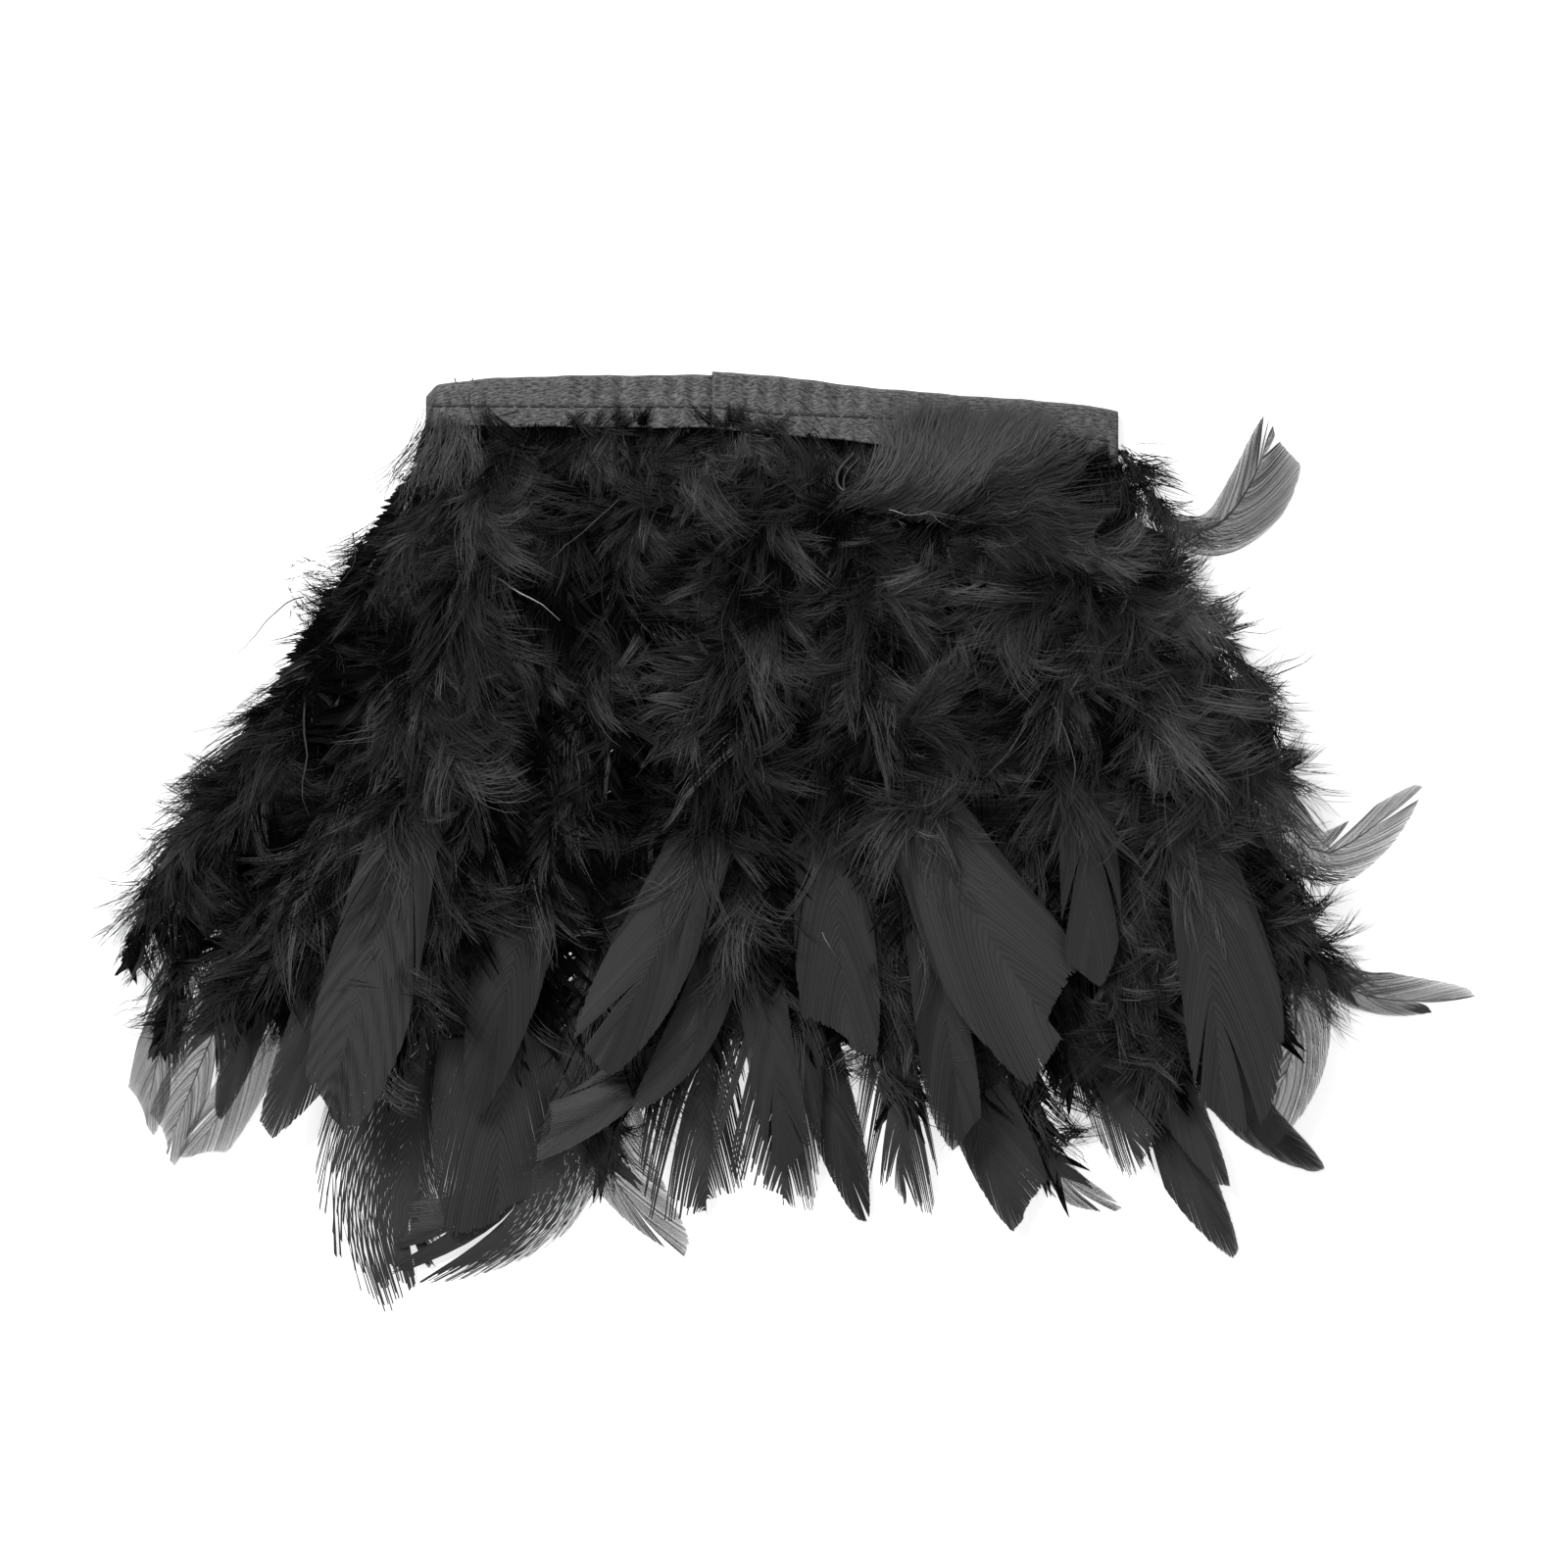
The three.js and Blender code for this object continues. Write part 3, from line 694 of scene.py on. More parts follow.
def tuft_strands(look, rng, root, heading, rise, bend, ground):
    """Tufts of fibres that start round a root, rise and bend, and draw in to one tip or fan out.

    A fibre of length l stands l x rise x (t - 0.6 t^2) over the ground under it, and its offset from the
    middle of its tuft shrinks as 1 - draw x t^1.2. It strays a further splay x l x t from the middle, and
    heading is the middle's angle from +X at the root.
    """
    count, each, steps = len(root), look.get("tuft_fibres", 12), look.get("tuft_steps", 4)
    field = tousle(root * 1.3)
    length = look["coat_length"] * rng.uniform(0.6, 1.25, count)
    length = length * np.interp(out_of(root), [0, 18], [0.7, 1])
    t = np.linspace(0, 1, steps)
    turned = heading[:, None] + bend[:, None] * t
    flow = np.stack([np.cos(turned), np.sin(turned)], -1)
    flow[:, 0] = 0
    core = root[:, None] + np.cumsum(flow * (length / (steps - 1))[:, None, None], 1)
    offset = rng.normal(0, look["tuft_spread"], (count, each, 2))
    draw = (1 - look.get("draw", 0.85) * t**1.2)[None, None, :, None]
    stray = rng.normal(0, look.get("splay", 0.05), (count, each, 1, 2))
    splay = stray * t[None, None, :, None] * length[:, None, None, None]
    cut = rng.uniform(0.65, 1.1, (count, each))[..., None, None]
    plan = root[:, None, None] + (core - root[:, None])[:, None] * cut + offset[:, :, None] * draw + splay
    lift = (length * rise)[:, None, None] * cut[..., 0] * (t - 0.6 * t**2)
    depth = rng.normal(0, 0.3, (count, each))[..., None]
    z = ground(plan, t * length[:, None, None]) + lift + depth
    cores = np.concatenate([plan, z[..., None]], -1).reshape(-1, steps, 3)
    # Part painted light and shade: tufts where the field's third value is high, which coat also uses to raise
    # them, are lighter, and each fibre gets lighter towards its tip; the rest is random tone.
    tone = look["down_tone"] + rng.normal(0, 0.14, count) + 0.3 * field[:, 2] + 0.12 * field[:, 1]
    tone = np.repeat(tone, each) + rng.normal(0, 0.07, count * each)
    return plain_strands(cores, tone - 0.3, look, rng, painted_shade_fade=0.6)


def coat(feather, look, rng, count, lean_to):
    """Tufts of down all over the downy part, fanning out from the shaft and tousled.

    A tuft that starts at v across the shaft, w being the down's half width there, heads fan x v / w off the
    shaft's own direction, turned further by the tousle field and a random share of lean_to degrees.
    """
    share = rng.random(count) ** 0.9
    reach = 0.4 + share * (look["down_to"] - 0.4)
    half = look["coat_half"] * np.interp(reach, [0, 12, 45, 90], [0.24, 0.42, 0.85, 1])
    half = half * np.interp(share, [0, 0.75, 1], [1, 1, 0.45])
    lateral = rng.uniform(*look["sides"], count)
    centre, forward, across = feather.at(reach)
    root = centre + across * (lateral * half)[:, None]
    field = tousle(root * 1.3)
    ahead = np.arctan2(forward[:, 1], forward[:, 0])
    heading = ahead + np.radians(look["fan"]) * lateral + np.radians(look["swirl"]) * field[:, 0]
    heading = heading + rng.normal(0, np.radians(lean_to), count)
    rise = np.clip(look["coat_rise"] * (1 + 0.8 * field[:, 2]) * rng.uniform(0.5, 1.3, count), 0.05, 1.2)
    bend = (0.5 * field[:, 1] + rng.normal(0, 0.3, count)) * look.get("curve", 1)

    def ground(plan, run):
        return feather.height(plan, reach[:, None, None] + run)

    return tuft_strands(look, rng, root, heading, rise, bend, ground)


def mat(feather, look, rng):
    """The close under-down: broad soft barbs side by side from the root to the blade, just below the sheet,
    coloured near black as painted shade between the tufts above.

    A strip of width w has the half width w / 2 x (1 - 0.93 t^2) and turns a quarter of a radian as it goes.
    """
    count, steps = look["mat"], 6
    made = []
    for side in (-1, 1):
        reach = np.linspace(0.2, min(look["down_to"] + 2, look["mat_to"]), count) + rng.normal(0, 0.3, count)
        share = np.clip(reach / look["down_to"], 0, 1)
        length = np.interp(reach, [0, 12, 45, 90], [4, 6.5, 10, 11]) * rng.uniform(0.8, 1.1, count)
        length = length * np.interp(share, [0, 0.75, 1.1], [1, 1, 0.6]) * look["mat_reach"]
        heading = np.radians(np.interp(share, [0, 1], look["mat_angle"]) + rng.normal(0, 7, count))
        t = np.linspace(0, 1, steps)
        turned = heading[:, None] - 0.25 * t
        centre, forward, across = feather.at(reach)
        ahead = forward[:, None] * np.cos(turned)[..., None]
        flow = ahead + side * across[:, None] * np.sin(turned)[..., None]
        flow[:, 0] = 0
        plan = centre[:, None] + np.cumsum(flow * (length / (steps - 1))[:, None, None], 1)
        z = feather.height(plan, reach[:, None] + t * length[:, None]) - 0.5 - 0.5 * rng.random((count, 1))
        path = np.concatenate([plan, np.clip(z, FLUFF_LOW, FLUFF_TOP)[..., None]], -1)
        path[..., 1] = np.minimum(path[..., 1], FLUFF_BACK)
        half = (look["mat_width"] / 2 * (1 - t**2 * 0.93))[None, :, None] * np.ones((count, 1, 1))
        points, quads = strips(*strand_edges(path, half, rng))
        points[..., 2] = np.maximum(points[..., 2], FLUFF_LOW)
        # Painted shade: near-black tones that fill the gaps between the tufts above.
        tones = np.full((count, steps, 1), 0.05) + 0.1 * rng.random((count, 1, 1))
        made.append(strand_part(points, quads, tones, steps))
    return made


def locks(feather, look, rng):
    """Loose straight barbs in pointed locks between the down and the blade.

    Each lock draws in to its own line: a barb's offset from it shrinks as 1 - gather x t^1.3.
    """
    count, each = look["locks"], 9
    share = rng.random(count)
    middle = 0.5 * (look["down_to"] + look["begin"])
    reach = middle + (share - 0.5) * 0.34 * feather.length
    angles = np.radians(look["lock_angle"] - 12 * share + rng.normal(0, 6, count))
    length = look["lock_length"] * rng.uniform(0.6, 1.1, count) * (1 - 0.2 * share)
    rise = rng.uniform(0.02, 0.2, count)
    state = rng.integers(1 << 30)
    rough = {**look, "tousle": look["tousle"] * 0.5}
    lead = np.random.default_rng(state)
    core = barb_cores(feather, rough, lead, reach, angles, length, rise, 0.3, steps=7)
    offset = rng.normal(0, 1.1, (count, each, 2))
    t = np.linspace(0, 1, 7)
    many = np.repeat(core[:, None], each, 1)
    draw = (1 - look["gather"] * t**1.3)[None, None, :, None]
    many[..., :2] += offset[:, :, None] * draw + rng.normal(0, 0.05, many[..., :2].shape)
    many[..., 2] += rng.normal(0, 0.35, (count, each))[..., None] * draw[..., 0]
    cut = rng.uniform(0.7, 1.0, (count, each))[..., None, None]
    many = many[:, :, :1] + (many - many[:, :, :1]) * cut
    tone = np.clip(look["lock_tone"] + np.repeat(rng.normal(0, 0.15, count), each), 0, 1)
    return plain_strands(many.reshape(-1, 7, 3), tone, look, rng)


def feather_look(settings, feather, width, share, slant, kind, tufts, down_share, rng):
    """Sizes that shape one feather: its outline, its barbs, its splits and its down."""
    length = feather.length
    lopsided = rng.uniform(0.3, 0.7)
    cut_off = share >= 0.4
    across = feather.line[len(feather.line) // 2, 0]
    look = {
        # Outline: widths left and right of the shaft, where the vane starts and ends, and its cut or tip.
        "half": (width * lopsided, width * (1 - lopsided)),
        "begin": 0.42 * length,
        "end": length,
        "taper": width * (1.5 if cut_off else 2.1),
        "cut": 0.02 + 0.8 * share**2,
        "bare_tip": 0.3 * width + 2,
        "square": 2.1 if cut_off else 1.5,
        "turn": 0.68,
        "sweep": rng.uniform(2.9, 3.7),
        "slant": slant * (1.7 if cut_off else 1.0),
        # Relief: hollow across, roll to one side, and curl up towards the tip.
        "camber": rng.uniform(0.004, 0.02),
        "roll": rng.normal(0, 0.09),
        "curl": rng.uniform(-1.5, 2.5),
        # Barbs: how many a side, points along each, and how they part, straggle, thin out and are marked.
        "barbs": settings.barbs,
        "steps": 8,
        "splits": int(rng.integers(0, 2)),
        "split_size": 0.035,
        "unruly": 0.0005,
        "ragged": 0.03,
        "gap": 0.0,
        "bars": 0.0,
        "fray": rng.uniform(0.0, 0.25),
        "fray_in": 0.7,
        "fray_power": 9.0,
        "tone": float(rng.uniform(0.22, 0.52)) + 0.001 * across,
        # Coat: tufts over the down, their reach across the shaft, size, rise and directions.
        "coat": int(tufts * 0.85),
        "coat_half": 8.5,
        "coat_length": 8.5,
        "coat_rise": 0.55,
        "tuft_spread": 0.75,
        "sides": (-1, 1),
        "fan": 40.0,
        "swirl": 78.0,
        # Under-down: strips a side, their width, length and angle, and the bed of broader ones.
        "mat": 110,
        "mat_width": 1.7,
        "mat_reach": 1.0,
        "mat_angle": (72, 34),
        "mat_to": 200,
        "bed": 0,
        "bed_reach": 1.7,
        # Down: branched soft barbs, from the quill to where the blade takes over.
        "soft_barbs": tufts // 11,
        "barbules": 22,
        "barbule": 4.0,
        "down_from": 1.0,
        "down_share": down_share * rng.uniform(0.92, 1.08),
        "down_length": 12.5,
        "angle_root": 80.0,
        "angle_tip": 26.0,
        "rise": 0.7,
        "down_tone": 0.27 + 0.0012 * across,
        "tousle": 2.2,
        # Locks, plumules and stiff hairs.
        "locks": 34,
        "lock_angle": 34.0,
        "lock_length": 23.0,
        "lock_tone": 0.72,
        "gather": 0.75,
        "plumules": tufts // 8,
        "plumule_length": 14.5,
        "hairs": 1,
        "strand": settings.strand_width / MM,
    }
    look.update(KINDS[kind])
    look["down_to"] = look["down_share"] * length
    return look


def make_feather(settings, feather, look, rng, node):
    """One feather piece: vane, down and shaft in one mesh, riding on its body in place of its CAD node."""
    parts = vane(feather, look, rng) + mat(feather, look, rng) + down(feather, look, rng)
    if look["bed"]:
        size = {"mat": look["bed"], "mat_reach": look["bed_reach"], "mat_to": BED_SHARE * feather.length}
        parts += mat(feather, {**look, **BED, **size}, rng)
    plumule = {**look, **PLUMULE, "coat_length": look["plumule_length"]}
    parts += [
        coat(feather, look, rng, look["coat"], TUFT_NOISE),
        coat(feather, plumule, rng, look["plumules"], PLUMULE_NOISE),
        locks(feather, look, rng),
        hairs(feather, look, rng),
        shaft(feather, look),
    ]
    materials = [vane_material(settings), down_material(settings), quill_material(settings)]
    piece = make_piece(node + "_plumage", parts, materials)
    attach(piece, feather.body)
    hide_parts(node)
    return piece


# ---------------------------------------------------------------- materials


def start_material(name, **values):
    """A new node material with the given plain values on its Principled shader, or the one already made."""
    material = bpy.data.materials.get(name)
    if material is not None:
        return material, None, None, None
    material = bpy.data.materials.new(name)
    material.use_nodes = True
    nodes, links = material.node_tree.nodes, material.node_tree.links
    shader = nodes["Principled BSDF"]
    for socket, value in values.items():
        shader.inputs[socket.replace("_", " ").title().replace("Ior", "IOR")].default_value = value
    return material, nodes, links, shader


def ramp(nodes, links, source, *stops):
    """A colour ramp through the stops (position, colour), read by source."""
    made = nodes.new("ShaderNodeValToRGB")
    points = made.color_ramp.elements
    for position, shade in stops[1:-1]:
        points.new(position).color = (*shade, 1)
    for point, (position, shade) in ((points[0], stops[0]), (points[-1], stops[-1])):
        point.position, point.color = position, (*shade, 1)
    links.new(source, made.inputs["Fac"])
    return made.outputs["Color"]


def add_bump(nodes, links, shader, source, strength, distance):
    """A bump of the given strength and depth in metres on the shader, read by source."""
    bump = nodes.new("ShaderNodeBump")
    bump.inputs["Strength"].default_value = strength
    bump.inputs["Distance"].default_value = distance
    links.new(source, bump.inputs["Height"])
    links.new(bump.outputs["Normal"], shader.inputs["Normal"])


def down_material(settings):
    """Matt dyed down: the tone of each tuft runs from near black to dark grey, broken by soft noise; the tone
    holds painted shade at the roots and painted light at the tips and on raised tufts.
    """
    material, nodes, links, shader = start_material("dyed_down", roughness=0.6, specular_ior_level=0.03)
    if nodes is None:
        return material
    tone = nodes.new("ShaderNodeAttribute")
    tone.attribute_name = "tone"
    place = nodes.new("ShaderNodeTexCoord")
    cloud = nodes.new("ShaderNodeTexNoise")
    cloud.inputs["Scale"].default_value = 70
    links.new(place.outputs["Object"], cloud.inputs["Vector"])
    mixed = nodes.new("ShaderNodeMath")
    mixed.operation = "MULTIPLY_ADD"
    mixed.inputs[1].default_value = 0.35
    links.new(cloud.outputs["Fac"], mixed.inputs[0])
    weight = nodes.new("ShaderNodeMath")
    weight.operation = "MULTIPLY"
    weight.inputs[1].default_value = 0.75
    links.new(tone.outputs["Fac"], weight.inputs[0])
    links.new(weight.outputs[0], mixed.inputs[2])
    stops = ((0.22, settings.down_dark), (0.72, settings.down_light), (1, settings.down_bright))
    links.new(ramp(nodes, links, mixed.outputs[0], *stops), shader.inputs["Base Color"])
    return material


def vane_material(settings):
    """Satin blade: fine barb lines across the weave map, a little lighter on them, each barb its own tone."""
    material, nodes, links, shader = start_material("satin_vane", roughness=0.42, specular_ior_level=0.3)
    if nodes is None:
        return material
    tone = nodes.new("ShaderNodeAttribute")
    tone.attribute_name = "tone"
    weave = nodes.new("ShaderNodeUVMap")
    weave.uv_map = "weave"
    lines = nodes.new("ShaderNodeTexWave")
    lines.wave_type = "BANDS"
    lines.bands_direction = "X"
    lines.inputs["Scale"].default_value = 0.21
    lines.inputs["Distortion"].default_value = 1.5
    links.new(weave.outputs["UV"], lines.inputs["Vector"])
    mixed = nodes.new("ShaderNodeMath")
    mixed.operation = "MULTIPLY_ADD"
    mixed.inputs[1].default_value = 0.36
    links.new(lines.outputs["Fac"], mixed.inputs[0])
    links.new(tone.outputs["Fac"], mixed.inputs[2])
    stops = ((0, settings.vane_dark), (1, settings.vane_light))
    links.new(ramp(nodes, links, mixed.outputs[0], *stops), shader.inputs["Base Color"])
    add_bump(nodes, links, shader, lines.outputs["Fac"], 0.45, 0.00005)
    return material


def quill_material(settings):
    """Dyed keratin: dark, half glossy, streaked along the shaft."""
    material, nodes, links, shader = start_material("dyed_quill", roughness=0.36, specular_ior_level=0.5)
    if nodes is None:
        return material
    place = nodes.new("ShaderNodeTexCoord")
    streak = nodes.new("ShaderNodeTexNoise")
    streak.inputs["Scale"].default_value = 400
    links.new(place.outputs["Object"], streak.inputs["Vector"])
    stops = ((0, settings.quill_dark), (1, settings.quill_light))
    links.new(ramp(nodes, links, streak.outputs["Fac"], *stops), shader.inputs["Base Color"])
    return material


def ribbon_material(settings):
    """Satin-faced ribbon: short painted glints of weft in the base colour along the tape, worn lighter here
    and there.
    """
    material, nodes, links, shader = start_material("black_ribbon", roughness=0.5, specular_ior_level=0.25)
    if nodes is None:
        return material
    weave = nodes.new("ShaderNodeUVMap")
    weave.uv_map = "weave"
    stretch = nodes.new("ShaderNodeMapping")
    stretch.inputs["Scale"].default_value = (0.75, 3.4, 1)
    links.new(weave.outputs["UV"], stretch.inputs["Vector"])
    dash = nodes.new("ShaderNodeTexNoise")
    dash.inputs["Scale"].default_value = 1.0
    dash.inputs["Detail"].default_value = 3
    dash.inputs["Roughness"].default_value = 0.75
    links.new(stretch.outputs["Vector"], dash.inputs["Vector"])
    worn = nodes.new("ShaderNodeTexNoise")
    worn.inputs["Scale"].default_value = 0.12
    links.new(weave.outputs["UV"], worn.inputs["Vector"])
    mixed = nodes.new("ShaderNodeMath")
    mixed.operation = "MULTIPLY_ADD"
    mixed.inputs[1].default_value = 0.3
    mixed.use_clamp = True
    links.new(worn.outputs["Fac"], mixed.inputs[0])
    sharp = nodes.new("ShaderNodeMapRange")
    sharp.inputs["From Min"].default_value = 0.42
    sharp.inputs["From Max"].default_value = 0.6
    sharp.inputs["To Max"].default_value = 0.85
    links.new(dash.outputs["Fac"], sharp.inputs["Value"])
    links.new(sharp.outputs["Result"], mixed.inputs[2])
    # Painted highlight: the sharp dashes lift the base colour towards the glint colour; the worn noise adds
    # lighter wear.
    stops = ((0, settings.ribbon_dark), (1, settings.ribbon_painted_glint))
    links.new(ramp(nodes, links, mixed.outputs[0], *stops), shader.inputs["Base Color"])
    add_bump(nodes, links, shader, dash.outputs["Fac"], 0.5, 0.0001)
    return material


def thread_material(settings):
    """Twisted sewing thread: slanting bands across the weave map, with painted shade in the hollows of the
    twist and painted light on its ridges.
    """
    material, nodes, links, shader = start_material("sewing_thread", roughness=0.6, sheen_weight=0.2)
    if nodes is None:
        return material
    weave = nodes.new("ShaderNodeUVMap")
    weave.uv_map = "weave"
    twist = nodes.new("ShaderNodeTexWave")
    twist.bands_direction = "DIAGONAL"
    twist.inputs["Scale"].default_value = 3
    links.new(weave.outputs["UV"], twist.inputs["Vector"])
    # Painted shade and light: the twist's hollows get the dark colour and its ridges the light one.
    stops = ((0, settings.thread_painted_shade), (1, settings.thread_painted_highlight))
    links.new(ramp(nodes, links, twist.outputs["Fac"], *stops), shader.inputs["Base Color"])
    add_bump(nodes, links, shader, twist.outputs["Fac"], 0.6, 0.00005)
    return material


# ---------------------------------------------------------------- tape


def line_at(points, x):
    """Height y of the line through the points [x, y] at each x."""
    return np.interp(x, points[:, 0], points[:, 1])


def ribbon_section(fold_y, mouth_y, stitch_y, middle, half, inset):
    """One wall surface at each station, from the lower lip round the fold to the upper lip, as [y, z].

    The flat faces dip by the channel's depth at the stitches, as the smooth step 3 d^2 - 2 d^3 of the
    nearness d to the stitch line, and the fold is a half ellipse.
    """
    rise = half - inset
    reach = FOLD_DEPTH - inset
    floor = rise - CHANNEL_DEPTH
    width = np.linspace(0, 1, 12)
    flat_from = mouth_y[:, None] + (stitch_y - CHANNEL_HALF - mouth_y)[:, None] * width
    channel = stitch_y[:, None] + np.linspace(-CHANNEL_HALF, CHANNEL_HALF, 7)[1:-1]
    beyond = fold_y - FOLD_DEPTH - stitch_y - CHANNEL_HALF
    flat_to = (stitch_y + CHANNEL_HALF)[:, None] + beyond[:, None] * width
    y_face = np.concatenate([flat_from, channel, flat_to[:, :-1]], 1)
    dip = np.clip(1 - np.abs(y_face - stitch_y[:, None]) / CHANNEL_HALF, 0, 1)
    z_face = rise - (rise - floor) * (dip * dip * (3 - 2 * dip))
    angle = np.linspace(-np.pi / 2, np.pi / 2, 11)
    y_arc = (fold_y - FOLD_DEPTH)[:, None] + reach * np.cos(angle)
    z_arc = np.broadcast_to(rise * np.sin(angle), y_arc.shape)
    y = np.concatenate([y_face, y_arc, y_face[:, ::-1]], 1)
    z = np.concatenate([-z_face, z_arc, z_face[:, ::-1]], 1)
    return np.stack([y, middle + z], -1)


def ribbon_piece(settings, node, fold, pucker_from, pucker_to):
    """A folded ribbon: the U section carried along X, closed at both cut ends.

    Its upper face is puckered by the stitches: a ripple 4.3 mm long, strongest from pucker_from to pucker_to.
    """
    low, high = (np.array(corner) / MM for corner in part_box(node))
    x = np.linspace(low[0], high[0], int((high[0] - low[0]) / 0.7) + 1)
    middle, half = (low[2] + high[2]) / 2, (high[2] - low[2]) / 2
    fold_y, mouth_y, stitch_y = line_at(fold, x), line_at(MOUTH, x), line_at(STITCH, x)
    wander = 0.08 * np.sin(x * 0.31) + 0.05 * np.sin(x * 0.83 + 1)
    fold_y, mouth_y = fold_y + wander, mouth_y + 0.1 * np.sin(x * 0.47 + 2)
    outer = ribbon_section(fold_y, mouth_y, stitch_y, middle, half, 0)
    inner = ribbon_section(fold_y, mouth_y, stitch_y, middle, half, settings.ribbon_wall / MM)
    section = np.concatenate([outer, inner[:, ::-1]], 1)
    ease = np.clip((x - pucker_from) / 6, 0, 1) * np.clip((pucker_to - x) / 6, 0, 1)
    ripple = np.sin(2 * np.pi * x / 4.3 + 0.8 * np.sin(x * 0.4)) * (0.04 + 0.42 * ease)
    upper = np.clip((section[..., 1] - middle) / half, 0, 1)
    off_stitch = np.clip(np.abs(section[..., 0] - stitch_y[:, None]) / 3, 0, 1)
    section[..., 1] += (ripple[:, None] - 0.15 * ease[:, None]) * upper * off_stitch
    rows, columns = section.shape[:2]
    points = np.concatenate([np.broadcast_to(x[:, None, None], (rows, columns, 1)), section], 2)
    quads = grid_quads(rows, columns, closed=True)
    wall = columns // 2
    near = np.arange(wall - 1)
    cap = np.stack([near, near + 1, columns - 2 - near, columns - 1 - near], -1)
    quads = np.concatenate([quads, cap[:, ::-1], cap + (rows - 1) * columns])
    sides = np.linalg.norm(np.diff(section, axis=1), axis=2)
    around = np.concatenate([np.zeros((rows, 1)), np.cumsum(sides, 1)], 1)
    uv = np.stack([np.broadcast_to(x[:, None], around.shape), around], -1)
    cloth = part(points.reshape(-1, 3), quads, 0, 0.5, uv.reshape(-1, 2))
    piece = make_piece(node + "_cloth", [cloth], [ribbon_material(settings)])
    outward(piece)
    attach(piece, "tape")
    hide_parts(node)
    return piece


def outward(piece):
    """Turns a closed mesh's faces outwards where its signed volume is negative."""
    mesh = piece.data
    corners = np.empty(len(mesh.loops), np.int32)
    mesh.loops.foreach_get("vertex_index", corners)
    points = np.empty(len(mesh.vertices) * 3, np.float32)
    mesh.vertices.foreach_get("co", points)
    quads = points.reshape(-1, 3)[corners.reshape(-1, 4)]
    volume = np.einsum("ij,ij->i", quads[:, 0], np.cross(quads[:, 1], quads[:, 2])).sum()
    volume += np.einsum("ij,ij->i", quads[:, 0], np.cross(quads[:, 2], quads[:, 3])).sum()
    if volume < 0:
        mesh.flip_normals()


def stitch_row(settings, node, side):
    """Lockstitches end to end in the channel: each a short bulging tube whose ends dive into the ribbon."""
    low, high = (np.array(corner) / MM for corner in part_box(node))
    pitch = settings.stitch_length / MM
    starts = np.arange(low[0] + 0.3, high[0] - pitch, pitch)
    lap = line_at(np.array([[-12.6, 0.0], [-11.2, 1.0]]), starts + pitch / 2)
    faces = [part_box("ribbon_left"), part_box("ribbon_right")]
    left, right = (corners[1 if side > 0 else 0][2] / MM for corners in faces)
    t = np.linspace(0, 1, 9)
    parts = []
    for start, share in zip(starts, lap):
        x = start + pitch * (0.02 + 0.96 * t)
        floor = left + (right - left) * share - side * CHANNEL_DEPTH
        z = floor + side * (0.16 - 0.3 * np.abs(2 * t - 1) ** 4)
        path = np.stack([x, line_at(STITCH, x), z], 1)
        radius = 0.16 * (1 - 0.45 * np.abs(2 * t - 1) ** 3)
        points, quads = tube(path, radius, 8, 0.75)
        points[:, 2] = np.maximum(points[:, 2], 0.01)
        turn = np.tile(np.arange(8) / 8, len(t))
        uv = np.stack([np.repeat(x, 8), turn], 1)
        parts.append(part(points, quads, 0, 0.5, uv))
    piece = make_piece(node + "_stitches", parts, [thread_material(settings)])
    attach(piece, "tape")
    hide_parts(node)
    return piece


def quill_row(settings):
    """The bare quill ends side by side, each a tapering tube from the glued bar to the flex line."""
    rng = np.random.default_rng(5)
    layer_slots = np.arange(36.0)
    slots = np.sort(np.concatenate([layer_slots, [slot for slot, *_ in BLADES.values()]]))
    parts = []
    for slot in slots:
        place = FIRST_QUILL + QUILL_PITCH * slot
        inner = to_plan(place, 0.3)
        outer_y = line_at(STITCH, inner[0]) + 2.2 + rng.uniform(-0.6, 0.4)
        x = inner[0] + rng.normal(0, 0.12) * np.linspace(1, 0, 7)
        y = np.linspace(outer_y, inner[1], 7)
        path = np.stack([x, y, np.full(7, QUILL_Z)], 1)
        points, quads = tube(path, np.linspace(0.34, 0.55, 7) * rng.uniform(0.9, 1.1), 8, 0.8)
        parts.append(part(points, quads, 0, 0.5))
    bar_x = np.linspace(to_plan(FIRST_QUILL, 0)[0] - 1, to_plan(FIRST_QUILL + 120, 0)[0] + 1, 90)
    bar_y = line_at(STITCH, bar_x) + 1.6 + 0.1 * np.sin(bar_x * 1.7)
    path = np.stack([bar_x, bar_y, np.full(90, QUILL_Z)], 1)
    points, quads = tube(path, 0.9 + 0.08 * np.sin(bar_x * 2.3), 8, 0.42)
    parts.append(part(points, quads, 0, 0.5))
    piece = make_piece("quill_butts_row", parts, [quill_material(settings)])
    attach(piece, "tape")
    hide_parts("strung_quill_butts")
    return piece

# ---------------------------------------------------------------- loose plumage


